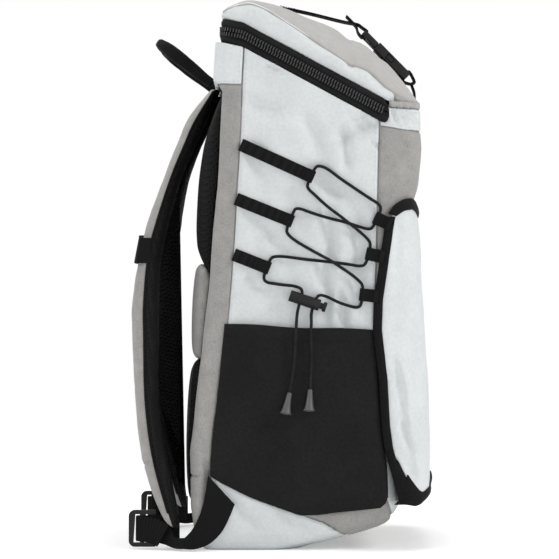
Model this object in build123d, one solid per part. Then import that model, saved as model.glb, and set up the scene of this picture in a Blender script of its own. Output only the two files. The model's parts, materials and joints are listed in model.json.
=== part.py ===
from build123d import *
import os
from math import cos, hypot, pi, radians, sin, tan

# Ski backpack, millimetres. +Z up, the wearer's back side faces +Y, the front flap faces -Y,
# the wearer's left is -X. The origin is in the middle of the flat base.

os.makedirs("parts", exist_ok=True)

# ---- the bag ----
bag_half_width = 134.0
wall = 3.0
front_corner_radius = 38.0
rear_corner_radius = 14.0
cutter = 200.0  # half size of the blocks that cut the shell
seat_gap = 0.3  # between pieces that only rest on each other

# Front and rear skin against height: (height, front, rear, how far the sides draw in)
body_line = [
    (0, -18, 76, 16),
    (6, -40, 81, 10),
    (12, -66, 84, 6),
    (23, -103, 86.5, 3),
    (46, -118, 89.5, 0),
    (100, -126, 90, 0),
    (186, -129, 79.5, 0),
    (262, -130, 71, 0),
    (340, -131.5, 65.5, 0),
    (358, -137.5, 63.5, 0),
    (395, -141, 60.5, 0),
    (438, -136.4, 58.5, 0),
    (454.5, -136.4, 58, 0),
    (455, -136.4, 68, 0),
    (500, -136.4, 65, 0),
    (530, -136.4, 59, 0),
]

# ---- zip and lid ----
zip_angle = 28.3  # slope of the zip's sides, rising to the rear
zip_anchor = (1.9, 484.0)  # a point on the zip's centre line: (y, z)
zip_end_y = -104.5
zip_half_band = 10.5
zip_parting = 0.8  # half the gap between the two rows of coil
coil_width = 4.2  # one row of coil
coil_height = 2.5
tape_thickness = 1.5
zip_rear_y = 59.0
zip_top_y = 150.0  # the zip's line is cut off behind the bag here
hinge_y = -136.4
hinge_z = 438.7
lid_open_gap = 0.2  # half the gap between lid and bag at the hinge
# Lid cross-sections from front to rear: (y, half width, side seam height, crown height)
lid_line = [
    (-136.4, 96, 439.5, 440.5),
    (-133.2, 111, 440, 450),
    (-127, 121, 441, 462),
    (-118, 128.4, 443, 474),
    (-105, 133, 452, 489),
    (-86, bag_half_width, 469, 503),
    (-60, bag_half_width, 480, 517.5),
    (-33, bag_half_width, 498, 530),
    (-9, bag_half_width, 514, 539),
    (14, bag_half_width, 529, 545),
    (31, bag_half_width, 536, 547),
    (46, bag_half_width, 533, 543),
    (54, bag_half_width - 5, 530, 538),
    (58, bag_half_width - 14, 528, 534),
]
lid_floor = 400.0

# ---- flap over the front (helmet pocket) ----
flap_stand_off = 4.0  # flap's sides beyond the bag's
flap_half_width = bag_half_width + flap_stand_off
flap_wall = 2.5
flap_corner_radius = 42.0
flap_line = [(40, -147), (60, -151.5), (162, -149.6), (265, -144.5), (338, -139.8), (350, -139.2)]
binding_width = 9.0
# Rear edge of the binding on each side: (y, z), top to bottom
binding_edge = [(-102.5, 328), (-99.5, 313), (-95, 284), (-89.2, 245), (-88.3, 216), (-94, 168),
                (-96.5, 123), (-99.4, 101), (-109, 66), (-114.5, 47.5)]
# Upper edge of the binding, from the front to its rounded rear corner: (y, z)
flap_top_edge = [(-145, 337), (-131, 345), (-120, 343.5), (-110, 338)]
# Lower edge of the skin inside the binding, rear to front: (y, z)
skin_low_edge = [(-119, 79), (-124, 70), (-133, 55.5), (-146, 69)]
flap_tip = (-131, 43.0)  # lowest point of the flap's sides
flap_front_low = (-146, 60.0)  # its front edge hangs higher
flap_depth = 60.0

# ---- side pockets ----
pocket_depth = 9.0
pocket_wall = 1.5
pocket_hem = 2.5
pocket_open = 20.0  # how far the hollow runs out above the brim
pocket_brim = 210.0
pocket_turn = 80.0
pocket_outline = [(54.3, 221.6), (-22, 218.5), (-86.8, 215.5), (-90.8, 184), (-94.6, 127),
                  (-100.5, 87), (-102.8, 50), (-95, 42), (-53.4, 38), (-17.5, 35),
                  (31, 53.4), (69.5, 73), (65, 119), (60, 155)]

# ---- back padding ----
pad_line = [(446, 60.5), (430, 68), (400, 78), (361, 83.6), (281, 86), (226, 89), (186, 90.5), (148, 93),
            (104, 95), (79, 95), (46, 93)]
pad_half_gap = 20.0  # from the middle to the inner edge of each column
pad_half_outer = 112.0
pad_middle_top = 272.0
pad_lower_top = 186.0
sheet_thickness = 2.0
sheet_half_width = 100.0
sheet_low = 16.0
sheet_high = 448.0
stiffener_thickness = 6.0
stiffener_width = 180.0
stiffener_depth = 62.0
stiffener_middle = 24.0
stay_thickness = 3.0
stay_width = 20.0
stay_spacing = 90.0

# ---- lace ----
cord_diameter = 3.0
lace_width = 12.6
lace_thickness = 2.4
eye_outer_radius = 3.3
eye_bore_radius = 2.1
eye_height = 3.7  # eye's centre above the side panel
# Long straps from the rear seam: (root y, root z, eye y, eye z)
side_laces = [(40.2, 396.4, -28.1, 365.5), (44.8, 343.5, -7.7, 322.4), (47.0, 289.4, 14.9, 276.7)]
# Short loops from the flap's binding: (eye y, eye z, slope in degrees)
flap_laces = [(-92.8, 324.2, 25.0), (-84.7, 289.8, 12.0), (-78.5, 250.1, 6.0)]
flap_lace_length = 16.0

# ---- cord lock ----
lock_centre = (-24.7, 243.8)  # midway between the two cord holes: (y, z)
lock_angle = 18.7  # slope of the barrel, falling to the front
lock_radius = 5.5
lock_wall = 1.5
lock_behind = 18.0  # barrel behind the middle of the cord holes
lock_ahead = 12.5
lock_floor = 2.0
lock_hole_spacing = 13.2
lock_height = 6.2  # barrel axis above the side panel
plunger_clearance = 0.15
plunger_travel = 3.0
plunger_web = 1.5
head_radius = 4.8
head_thickness = 3.5
spring_wire = 0.8
cord_clearance = 0.4

# Lace cord on the left side, from the lock through every eye and back: (y, z, height above the panel)
lace_route = [
    (-18.4, 245.9, 6.2), (-21.4, 254.9, 6.0), (-12.9, 258.8, 4.2), (-2, 259.6, 2.6), (8, 261.0, 2.2),
    (15.3, 262.2, 3.0), (18.6, 266.6, 3.7), (12.1, 283.7, 3.7), (8.6, 287.6, 3.2), (-3, 287.4, 2.2),
    (-22, 284.6, 2.2), (-44, 282.4, 2.2), (-64, 280.0, 2.4), (-76, 277.6, 3.2), (-81.9, 279.6, 3.7),
    (-86.6, 298.6, 3.7), (-84.4, 303.6, 3.0), (-76, 311.4, 3.4), (-66.5, 318.8, 6.8), (-56.5, 326.8, 6.8),
    (-44, 336.0, 3.2), (-32, 347.4, 2.4), (-25.4, 353.2, 3.2), (-24.4, 357.4, 3.7), (-31.8, 373.6, 3.7),
    (-35.8, 376.0, 3.2), (-44, 373.2, 2.4), (-57, 363.0, 2.2), (-72, 353.0, 2.2), (-86, 343.6, 2.6),
    (-94.6, 338.4, 3.2), (-96.9, 333.2, 3.7), (-89.0, 316.2, 3.7), (-85.2, 313.6, 3.2), (-76, 316.0, 2.2),
    (-63, 320.6, 2.0), (-46, 324.6, 2.0), (-30, 329.4, 2.0), (-18.5, 333.8, 2.8), (-13.2, 334.2, 3.6),
    (-11.1, 330.6, 3.7), (-4.3, 313.9, 3.7), (-5.2, 309.2, 3.2), (-13, 302.6, 2.4), (-26, 295.0, 2.6),
    (-40, 287.4, 4.6), (-47.5, 283.4, 6.8), (-57, 277.0, 6.8), (-67, 270.4, 4.0), (-75.4, 263.6, 3.2),
    (-79.2, 258.6, 3.7), (-77.5, 241.2, 3.7), (-74.4, 237.6, 3.4), (-67.6, 238.4, 2.8), (-54, 243.0, 3.6),
    (-43.2, 248.9, 5.6), (-34.0, 250.6, 6.2), (-31.0, 241.7, 6.2),
]
tail_routes = [
    [(-18.4, 245.9, 6.2), (-15.6, 237.4, 6.6), (-14.2, 227.6, 10.8), (-13.6, 214.5, 11.5), (-12.9, 195.0, 11.1),
     (-11.0, 173.0, 11.2), (-6.9, 152.2, 12.0)],
    [(-31.0, 241.7, 6.2), (-28.2, 233.2, 6.8), (-28.6, 223.4, 10.8), (-28.0, 210.5, 11.5), (-28.9, 191.0, 11.1),
     (-28.1, 173.0, 11.2), (-27.2, 155.4, 12.0)],
]
cord_end_length = 18.0
cord_end_mouth = 5.3
cord_end_neck = 2.3
cord_end_wall = 1.2
cord_end_lean = 0.12

# ---- shoulder straps ----
# Side-view curves of the strap's outer face, its lining and the seam between them: (y, z)
strap_outer = [(72, 454.6), (93.5, 428), (106.8, 396), (117.4, 368), (134.6, 319), (143.7, 275),
               (148, 239), (147.8, 212), (144, 146), (138.3, 94), (125.2, 50), (113, 24)]
strap_inner = [(62.5, 454.6), (79.7, 415.5), (87.4, 398.8), (100.4, 368), (109.3, 336), (117.2, 304),
               (121.5, 275), (122, 245), (121.9, 146), (114.2, 94), (104, 47), (100, 20)]
strap_middle = [(67, 454.6), (86.5, 422), (96.8, 398), (108.8, 368), (121.5, 328), (131, 290),
                (135, 243), (134.8, 210), (133, 146), (126.2, 94), (114.6, 48.5), (106.5, 22)]
# The strap's outline from behind: (height, middle, half width)
strap_plan = [(456, 46, 27), (400, 54, 31), (330, 70, 32), (250, 86, 31),
              (170, 97, 30), (100, 105, 27), (55, 110, 22), (18, 112, 14)]

# ---- webbing, buckles and ladder locks ----
webbing = 25.0
webbing_thickness = 1.8
buckle_side = 4.0  # buckle beyond the webbing on each side
buckle_thickness = 9.0
buckle_mouth = 5.0
buckle_wall = 2.5
buckle_clearance = 0.4
buckle_base = 19.0
buckle_socket = 44.0
prong_width = 4.0
prong_reach = 20.0
prong_root_radius = 2.0
prong_root = 7.5  # prong's root stands this far back from the joint
prong_head = 8.0
prong_swing = 2.2  # room beside each prong's arm
bar_slot_width = 3.5
male_bar = 4.2  # middle of the webbing slot from the male half's end
socket_bar = 5.5  # middle of the webbing slot from the socket's end
tongue_middle = 6.0
buckle_base_thickness = 6.0
tongue_width = 7.0
buckle_lip = 3.0  # male half's base stands this far back from the joint
buckle_overlap = 2.6  # socket's mouth stands this far back from the joint
lid_buckle_joint = (-99.0, 502.0)
lid_buckle_slope = 45.4
webbing_end_gap = 0.3
# Middle of the lid strap's webbing, behind and ahead of its buckle: (y, z)
lid_strap_rear = [(2, 543.5), (-12, 541.2), (-33, 536.5), (-65, 529), (-76, 523.6)]
lid_strap_front = [(-133, 466), (-136, 456), (-135.9, 446.5)]
sternum_low = 281.0
sternum_stand_off = 1.6
ladder_width = 36.0
ladder_length = 26.2
ladder_thickness = 5.0
ladder_bar = 4.0
ladder_bars = (11.0, 22.0)  # flat bars beyond the round one
ladder_corner = 6.0
ladder_pin_radius = 2.2
ladder_pivot = (112.0, 126.5, 20.5)  # middle of the round bar, which stands upright
pin_clearance = 0.3
tab_wall = 1.9
tab_reach = 26.0  # how far the strap's end tab runs in from the round bar
keeper_depth = 12.0
wing_thickness = 2.4
wing_outline = [(72, 74), (46, 46), (50, 36), (58, 20), (70, 8),
                (84, 2.5), (95, 3), (95, 13), (86, 24), (77, 45)]
lower_low = 3.0
lower_width = 10.0

# ---- grab handle ----
handle_root = (71.0, 463.0)
handle_slope = 38.7
handle_reach = 66.0
handle_half_span = 38.0
handle_size = 10.0
handle_hem_radius = 3.0
handle_start = 2.0
handle_bend = 24.0
handle_edge = 3.0


# ---------------------------------------------------------------- helpers
def save(shape, name):
    """Writes one node; a list of separate solids becomes one compound."""
    solids = []
    for item in shape if isinstance(shape, (list, tuple)) else [shape]:
        solids += list(item.solids())
    body = solids[0] if len(solids) == 1 else Compound(children=solids)
    export_step(body, f"parts/{name}.step")


def lerp_line(line, position, column=1):
    """Value in a column of a list of rows at a position along the first column."""
    rows = sorted(line, key=lambda row: row[0])
    if position <= rows[0][0]:
        return rows[0][column]
    for low, high in zip(rows, rows[1:]):
        if position <= high[0]:
            share = (position - low[0]) / (high[0] - low[0])
            return low[column] + share * (high[column] - low[column])
    return rows[-1][column]


def side_region(points, x_from, x_to):
    """A side-view outline given as (y, z) points, carried across from one x to another."""
    face = make_face(Polyline(*[(x_from, y, z) for y, z in points], close=True))
    return extrude(face, amount=x_to - x_from, dir=(1, 0, 0))


def both_sides(shape):
    """The shape and its mirror image across the middle of the bag."""
    return [shape, mirror(shape, about=Plane.YZ)]


def plan_section(height, y_front, y_rear, half_width, radius_front, radius_rear):
    """A rounded plan outline at one height."""
    depth = y_rear - y_front
    with BuildSketch(Plane.XY.offset(height)) as sketch:
        with Locations((0, (y_front + y_rear) / 2)):
            Rectangle(2 * half_width, depth)
        fillet(sketch.vertices().group_by(Axis.Y)[0], radius_front)
        fillet(sketch.vertices().group_by(Axis.Y)[-1], radius_rear)
    return sketch.sketch


def bag_solid(inset):
    """The bag's body drawn in by inset all round, from its base to above the zip."""
    sections = []
    for height, y_front, y_rear, draw_in in body_line:
        z = height
        if inset and height == body_line[0][0]:
            z = height + inset
        sections.append(
            plan_section(z, y_front + inset, y_rear - inset, bag_half_width - draw_in - inset,
                         front_corner_radius - inset, rear_corner_radius - inset)
        )
    return loft(sections, ruled=True)


def lid_solid(inset):
    """The lid's outer form drawn in by inset, with a flat floor that the parting cuts away."""
    sections = []
    last = len(lid_line) - 1
    for number, (y, half_width, seam, crown) in enumerate(lid_line):
        y_here = y + inset if number == 0 else y - inset if number == last else y
        half = half_width - inset
        plane = Plane(origin=(0, y_here, 0), x_dir=(1, 0, 0), z_dir=(0, -1, 0))
        side_top, middle_top = seam - inset, crown - inset
        outline = [
            Line((-half, lid_floor), (half, lid_floor)),
            Line((half, lid_floor), (half, side_top)),
            ThreePointArc((half, side_top), (0, middle_top), (-half, side_top)),
            Line((-half, side_top), (-half, lid_floor)),
        ]
        sections.append(plane * make_face(outline))
    return loft(sections, ruled=True)


def zip_z(y, distance=0.0):
    """Height of the line that runs a distance above the zip's centre line."""
    slope = radians(zip_angle)
    return zip_anchor[1] + tan(slope) * (y - zip_anchor[0]) + distance / cos(slope)


def parting(distance, hinge_shift, end_shift):
    """The line from the hinge round the zip's end and up to the rear, as (y, z) points."""
    return [(-cutter, hinge_z + hinge_shift), (hinge_y, hinge_z + hinge_shift), (zip_end_y, hinge_z + end_shift),
            (zip_end_y, zip_z(zip_end_y, distance)), (cutter, zip_z(cutter, distance))]


def skin_line(offset, z_from, z_to):
    """Points on the rear skin moved out by an offset between two heights."""
    heights = [z_from] + [row[0] for row in body_line if z_from < row[0] < z_to] + [z_to]
    return [(lerp_line(body_line, z, 2) + offset, z) for z in heights]


def rear_layer(inner_offset, outer_offset, z_from, z_to, x_from, x_to):
    """A sheet that follows the rear skin between two offsets from it."""
    outline = skin_line(inner_offset, z_from, z_to) + skin_line(outer_offset, z_from, z_to)[::-1]
    return side_region(outline, x_from, x_to)


# ---------------------------------------------------------------- bag shell
outer_bag = bag_solid(0)
shell = outer_bag - bag_solid(wall)
wide = cutter
cut_line = parting(-zip_half_band, -lid_open_gap, -2 * lid_open_gap)
shell = shell - side_region(cut_line + [(cutter, 4 * cutter), (-cutter, 4 * cutter)], -wide, wide)

base_seam = [(cutter, 73), (70, 73), (31, 53.4), (-17.5, 35), (-53.4, 38), (-103, 49.5), (-cutter, 49.5)]
base_region = side_region(base_seam + [(-cutter, -20), (cutter, -20)], -wide, wide)
patch_seam = [(-19.4, 35.5), (-40.7, 28), (-63, 13.6), (-70, -20)]
patch_region = side_region(patch_seam + [(-cutter, -20), (-cutter, 60), (-53.4, 60)], -wide, wide)
base_shell = shell & base_region
save(base_shell - patch_region, "base_panel")
save(base_shell & patch_region, "base_front")

upper_shell = shell - base_region
gusset_seam = [(35.5, 530), (39, 456), (40.4, 410), (44, 355), (47.8, 286),
               (52.8, 225), (59, 177), (64, 141), (69.5, 93), (70, 60)]
rear_region = side_region(gusset_seam + [(cutter, gusset_seam[-1][1]), (cutter, gusset_seam[0][1])], -wide, wide)
yoke_seam = 455.0
yoke_region = Pos(0, 0, yoke_seam + cutter) * Box(2 * cutter, 2 * cutter, 2 * cutter)
front_seam = [(-95, 445), (-95, 418), (-91, 330), (-87, 225), (-94, 120), (-103, 45)]
front_region = side_region(front_seam + [(-cutter, front_seam[-1][1]), (-cutter, front_seam[0][1])], -wide, wide)
strip_seam = 412.0
strip_region = Pos(0, -90 - cutter, strip_seam + cutter) * Box(2 * cutter, 2 * cutter, 2 * cutter)
gusset_wrap = 16.0  # how far the gusset turns in behind

rear_shell = upper_shell & rear_region
save(rear_shell & yoke_region, "rear_yoke")
lower_rear = rear_shell - yoke_region
middle_box = Box(2 * (bag_half_width - gusset_wrap), 2 * cutter, 6 * cutter)
save(lower_rear & middle_box, "back_panel")
save(lower_rear - middle_box, "back_gussets")
front_shell = upper_shell & front_region
save(front_shell - strip_region, "front_panel")
save(front_shell & strip_region, "front_yoke")
side_shell = upper_shell - rear_region - front_region
for side, solid in zip(("left", "right"), sorted(side_shell.solids(), key=lambda s: s.center().X)):
    save(solid, f"side_panel_{side}")

# ---------------------------------------------------------------- frame and back padding
sheet_inner = -wall - seat_gap - sheet_thickness
save(rear_layer(sheet_inner, sheet_inner + sheet_thickness, sheet_low, sheet_high,
                -sheet_half_width, sheet_half_width), "frame_sheet")
stay_outer = sheet_inner - seat_gap
stays = []
for x in (-stay_spacing / 2, stay_spacing / 2):
    stays.append(rear_layer(stay_outer - stay_thickness, stay_outer, sheet_low + 10, sheet_high - 10,
                            x - stay_width / 2, x + stay_width / 2))
save(stays, "frame_stays")
stiffener = Pos(0, stiffener_middle, wall + seat_gap + stiffener_thickness / 2)
stiffener = stiffener * Box(stiffener_width, stiffener_depth, stiffener_thickness)
save(stiffener, "base_stiffener")


def pad_block(z_from, z_to):
    """One pair of back pads between two heights."""
    heights = [z_from] + sorted(row[0] for row in pad_line if z_from < row[0] < z_to) + [z_to]
    outline = [(lerp_line(pad_line, z), z) for z in heights]
    outline += [(y, z) for y, z in skin_line(seat_gap, z_from, z_to)][::-1]
    return both_sides(side_region(outline, pad_half_gap, pad_half_outer))


save(pad_block(46, pad_lower_top - seat_gap), "back_pad_lower")
save(pad_block(pad_lower_top, pad_middle_top - seat_gap), "back_pad_middle")
save(pad_block(pad_middle_top, pad_line[0][0]), "back_pad_upper")

# ---------------------------------------------------------------- lid
lid_shell = lid_solid(0) - lid_solid(wall)
lid_cut = parting(zip_half_band, lid_open_gap, 2 * lid_open_gap)
lid_shell = lid_shell - side_region(lid_cut + [(cutter, 300), (-cutter, 300)], -wide, wide)
seam_points = [(row[0], row[2]) for row in lid_line]
seam_points = [(-cutter, seam_points[0][1])] + seam_points + [(cutter, seam_points[-1][1])]
top_region = side_region(seam_points + [(cutter, 4 * cutter), (-cutter, 4 * cutter)], -wide, wide)
save(lid_shell & top_region, "lid_top_panel")
save(lid_shell - top_region, "lid_gusset")


# ---------------------------------------------------------------- zip
def zip_outline(inset):
    """Upright prism of the bag's plan at the zip, drawn in by inset."""
    sketch = plan_section(300, -cutter, zip_rear_y - inset, bag_half_width - inset, 2, rear_corner_radius - inset)
    return extrude(sketch, amount=300)


def zip_band(low, high, inner, outer):
    """The part of the zip between two distances from its centre line and two depths."""
    strip = [(zip_end_y, zip_z(zip_end_y, low)), (zip_top_y, zip_z(zip_top_y, low)),
             (zip_top_y, zip_z(zip_top_y, high)), (zip_end_y, zip_z(zip_end_y, high))]
    return (zip_outline(-outer) - zip_outline(-inner)) & side_region(strip, -wide, wide)


coil_far = zip_parting + coil_width
save(zip_band(zip_parting, zip_half_band, -tape_thickness, 0), "zip_tape_upper")
save(zip_band(-zip_half_band, -zip_parting, -tape_thickness, 0), "zip_tape_lower")
save(zip_band(zip_parting, coil_far, 0, coil_height), "zip_coil_upper")
save(zip_band(-coil_far, -zip_parting, 0, coil_height), "zip_coil_lower")

slider_length = 14.0
slider_half_height = 6.6
slider_spacing = 17.5
bail_offset = 3.0
bail_length = 8.0
bail_wall = 2.4
slider_plate = 1.4
slider_clearance = 0.35
slider_web = 0.5  # half thickness of the web between the coils
pull_length = 20.0
pull_width = 7.0
pull_thickness = 1.8
bail_rise = 4.6
pull_pin_radius = 1.1
pull_pin_clearance = 0.2
pull_pin_rise = 1.7  # pin above the slider's outer plate
pull_eye_radius = 1.6
slider_start = 10.0  # rear slider's place down the zip from its anchor


def slider_place(along):
    """A frame on the right side of the bag: x down the zip to the front, y across it upward, z outward."""
    slope = radians(zip_angle)
    y = zip_anchor[0] - along * cos(slope)
    down = (0, -cos(slope), -sin(slope))
    return Location(Plane(origin=(bag_half_width, y, zip_z(y)), x_dir=down, z_dir=(1, 0, 0)))


def make_slider(bail_x):
    """A zip slider: outer and inner plates, a web between the coils, and a bail for the pull."""
    outer_low = coil_height + slider_clearance
    inner_high = -tape_thickness - slider_clearance
    plate_out = Pos(0, 0, outer_low + slider_plate / 2) * Box(slider_length, 2 * slider_half_height, slider_plate)
    plate_in = Pos(0, 0, inner_high - slider_plate / 2) * Box(slider_length, 2 * slider_half_height, slider_plate)
    web = Pos(0, 0, (outer_low + inner_high) / 2) * Box(slider_length * 0.55, 2 * slider_web, outer_low - inner_high)
    bail_base = outer_low + slider_plate
    bail = Pos(bail_x, 0, bail_base + bail_rise / 2) * Box(bail_length, bail_wall, bail_rise)
    pin_hole = Cylinder(pull_pin_radius + pull_pin_clearance, 2 * pull_width)
    bail = bail - Pos(bail_x, 0, bail_base + pull_pin_rise) * Rot(90, 0, 0) * pin_hole
    return plate_out + plate_in + web + bail


def make_pull(bail_x):
    """A pull tab: a cross pin through the bail, two cheeks beside it, and a flat grip."""
    pin_z = coil_height + slider_clearance + slider_plate + pull_pin_rise
    start = bail_x - pull_pin_radius
    pin = Pos(bail_x, 0, pin_z) * Rot(90, 0, 0) * Cylinder(pull_pin_radius, pull_width)
    tab = Pos(start + pull_length / 2, 0, pin_z) * Box(pull_length, pull_width, pull_thickness)
    slot_length = bail_length / 2 + pull_pin_radius + 5 * pull_pin_clearance
    slot = Box(slot_length, bail_wall + 2 * pull_pin_clearance, bail_rise)
    slot = Pos(start + slot_length / 2, 0, pin_z) * slot
    eye = Pos(start + pull_length - 2.5 * pull_eye_radius, 0, pin_z) * Cylinder(pull_eye_radius, bail_rise)
    return (tab - slot) + pin - eye


sliders = {"rear": (slider_start, -bail_offset), "front": (slider_start + slider_spacing, bail_offset)}
for name, (along, bail_x) in sliders.items():
    place = slider_place(along)
    save(place * make_slider(bail_x), f"zip_slider_{name}")
    save(place * make_pull(bail_x), f"zip_pull_{name}")

# ---------------------------------------------------------------- front flap
def flap_solid(inset):
    """The flap's outer form drawn in by inset."""
    sections = []
    for height, y_front in flap_line:
        sections.append(plan_section(height, y_front + inset, flap_depth, flap_half_width - inset,
                                     flap_corner_radius - inset, 5))
    return loft(sections, ruled=True)


flap_form = flap_solid(0)
flap_hollow = flap_solid(flap_wall)
top_y, top_z = flap_top_edge[0]
low_y, low_z = flap_front_low
flap_low = flap_tip[1]
window_edge = binding_edge + [flap_tip, flap_front_low, (-cutter, low_z), (-cutter, top_z)] + flap_top_edge
flap_window = side_region(window_edge, -wide, wide)
flap_skin = (flap_form - flap_hollow) & flap_window
bound_top = top_z - binding_width
inner_edge = [(flap_top_edge[-1][0], bound_top)]
inner_edge += [(y - binding_width, z) for y, z in binding_edge[1:-2]] + skin_low_edge
inner_edge += [(-cutter, skin_low_edge[-1][1]), (-cutter, bound_top)]
inner_window = side_region(inner_edge, -wide, wide)
floor_line = [(-flap_depth, flap_low), flap_tip, flap_front_low, (-cutter, low_z)]
floor_region = side_region(floor_line + [(y, z + flap_wall) for y, z in floor_line[::-1]], -wide, wide)
flap_floor = (flap_hollow & floor_region) - bag_solid(-seat_gap)
save(flap_skin & inner_window, "front_flap")
save((flap_skin - inner_window) + (flap_floor & flap_window), "flap_binding")
tab_size = (20.0, 2.4, 13.0)
tab_height = 62.0
tab_y = lerp_line(flap_line, tab_height + tab_size[2] / 2) - seat_gap - tab_size[1] / 2
save(Pos(0, tab_y, tab_height) * Box(*tab_size), "flap_tab")

# ---------------------------------------------------------------- side pockets
pocket_face = -bag_half_width - pocket_depth
pocket_outer = side_region(pocket_outline, pocket_face, -bag_half_width - seat_gap)
pocket_inner_points = []
pocket_middle = sum(point[0] for point in pocket_outline) / len(pocket_outline)
for y, z in pocket_outline:
    y_in = y + pocket_hem if y < pocket_middle else y - pocket_hem
    z_in = z + pocket_open if z > pocket_brim else z + pocket_hem if z < pocket_turn else z
    pocket_inner_points.append((y_in, z_in))
pocket_cavity = side_region(pocket_inner_points, pocket_face + pocket_wall, -bag_half_width + wall)
for side, solid in zip(("left", "right"), both_sides(pocket_outer - pocket_cavity)):
    save(solid, f"side_pocket_{side}")


# ---------------------------------------------------------------- lace straps and loops
def on_left(y, z, along_y, along_z, height=0.0):
    """A frame on the left side panel: x in the given direction, z straight out."""
    origin = (-bag_half_width - height, y, z)
    return Location(Plane(origin=origin, x_dir=(0, along_y, along_z), z_dir=(-1, 0, 0)))


def lace_strap(root, eye, height):
    """A flat doubled webbing strap that ends in an eye for the cord, on the left side."""
    length = hypot(eye[0] - root[0], eye[1] - root[1])
    place = on_left(root[0], root[1], eye[0] - root[0], eye[1] - root[1])
    reach = length - eye_bore_radius
    strap = Pos(reach / 2, 0, height) * Box(reach, lace_width, lace_thickness)
    tube = Pos(length, 0, eye_height) * Rot(90, 0, 0) * Cylinder(eye_outer_radius, lace_width)
    bore = Pos(length, 0, eye_height) * Rot(90, 0, 0) * Cylinder(eye_bore_radius, 2 * lace_width)
    return place * (strap + tube - bore)


side_straps = []
for root_y, root_z, eye_y, eye_z in side_laces:
    strap_height = seat_gap + lace_thickness / 2
    side_straps += both_sides(lace_strap((root_y, root_z), (eye_y, eye_z), strap_height))
save(side_straps, "side_lace_straps")
flap_loops = []
for eye_y, eye_z, slope in flap_laces:
    root = (eye_y - flap_lace_length * cos(radians(slope)), eye_z - flap_lace_length * sin(radians(slope)))
    over_flap = flap_half_width - bag_half_width + seat_gap + lace_thickness / 2
    flap_loops += both_sides(lace_strap(root, (eye_y, eye_z), over_flap))
save(flap_loops, "flap_lace_loops")


# ---------------------------------------------------------------- lace cords
def cord_tube(route, label):
    """A cord along a hand-set route: straight runs joined by arcs as large as the runs allow."""
    points = [Vector(-bag_half_width - height, y, z) for y, z, height in route]
    radii = []
    for before, here, after in zip(points, points[1:], points[2:]):
        turn = (here - before).get_angle(after - here)
        shorter = min((here - before).length, (after - here).length)
        radii.append(0.45 * shorter / tan(radians(turn / 2)))
    path = FilletPolyline(*points, radius=radii)
    start = Plane(origin=points[0], z_dir=points[1] - points[0])
    tube = sweep(start * Circle(cord_diameter / 2), path=path)
    expected = pi * cord_diameter ** 2 / 4 * path.length
    print(label, "length", round(path.length, 1), "radii", [round(r, 1) for r in radii],
          "volume ratio", round(tube.volume / expected, 4))
    return tube


for side, solid in zip(("left", "right"), both_sides(cord_tube(lace_route, "lace cord"))):
    save(solid, f"lace_cord_{side}")
tails = []
ends = []
for number, route in enumerate(tail_routes):
    tails += both_sides(cord_tube(route, f"tail {number + 1}"))
    last = Vector(-bag_half_width - route[-1][2], route[-1][0], route[-1][1])
    before = Vector(-bag_half_width - route[-2][2], route[-2][0], route[-2][1])
    bell = Cone(cord_end_neck, cord_end_mouth, cord_end_length)
    hollow = Cone(cord_end_neck - cord_end_wall, cord_end_mouth - cord_end_wall, 2 * cord_end_length / 3)
    bell = Pos(0, 0, cord_end_length / 2) * bell
    bell = bell - Pos(0, 0, 2 * cord_end_length / 3 + seat_gap) * hollow
    lean = (last - before).normalized() + Vector(-cord_end_lean, 0, 0)
    ends += both_sides(Location(Plane(origin=last, z_dir=lean)) * bell)
save(tails, "cord_tails")
save(ends, "cord_ends")

# ---------------------------------------------------------------- cord locks
lock_slope = radians(lock_angle)
lock_place = on_left(*lock_centre, -cos(lock_slope), -sin(lock_slope), lock_height)
lock_bore = lock_radius - lock_wall


def rod(radius, x_from, x_to):
    """A round bar along x."""
    return Pos((x_from + x_to) / 2, 0, 0) * Rot(0, 90, 0) * Cylinder(radius, x_to - x_from)


barrel = rod(lock_radius, -lock_behind, lock_ahead) - rod(lock_bore, -lock_behind + lock_floor, lock_ahead + 1)
cord_hole = Rot(90, 0, 0) * Cylinder(cord_diameter / 2 + cord_clearance, 3 * lock_radius)
for x in (-lock_hole_spacing / 2, lock_hole_spacing / 2):
    barrel = barrel - Pos(x, 0, 0) * cord_hole
plunger_radius = lock_bore - plunger_clearance
slot_half = cord_diameter / 2 + cord_clearance
slot_low = -lock_hole_spacing / 2 - slot_half
slot_high = lock_hole_spacing / 2 + slot_half + plunger_travel
plunger_low = slot_low - plunger_web
neck_radius = plunger_radius - spring_wire
head_low = lock_ahead + plunger_travel + seat_gap
plunger = rod(plunger_radius, plunger_low, lock_ahead) + rod(neck_radius, lock_ahead, head_low)
plunger = plunger + rod(head_radius, head_low, head_low + head_thickness)
slot = Box(slot_high - slot_low, 4 * lock_radius, 2 * slot_half)
plunger = plunger - Pos((slot_low + slot_high) / 2, 0, 0) * slot
spring_low = -lock_behind + lock_floor
spring_radius = plunger_radius - plunger_clearance
spring_bore = rod(spring_radius - spring_wire, spring_low - 1, plunger_low + 1)
spring = rod(spring_radius, spring_low, plunger_low) - spring_bore
for piece, name in ((barrel, "cord_lock_body"), (plunger, "cord_lock_button"), (spring, "cord_lock_spring")):
    for side, solid in zip(("left", "right"), both_sides(lock_place * piece)):
        save(solid, f"{name}_{side}")


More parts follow.
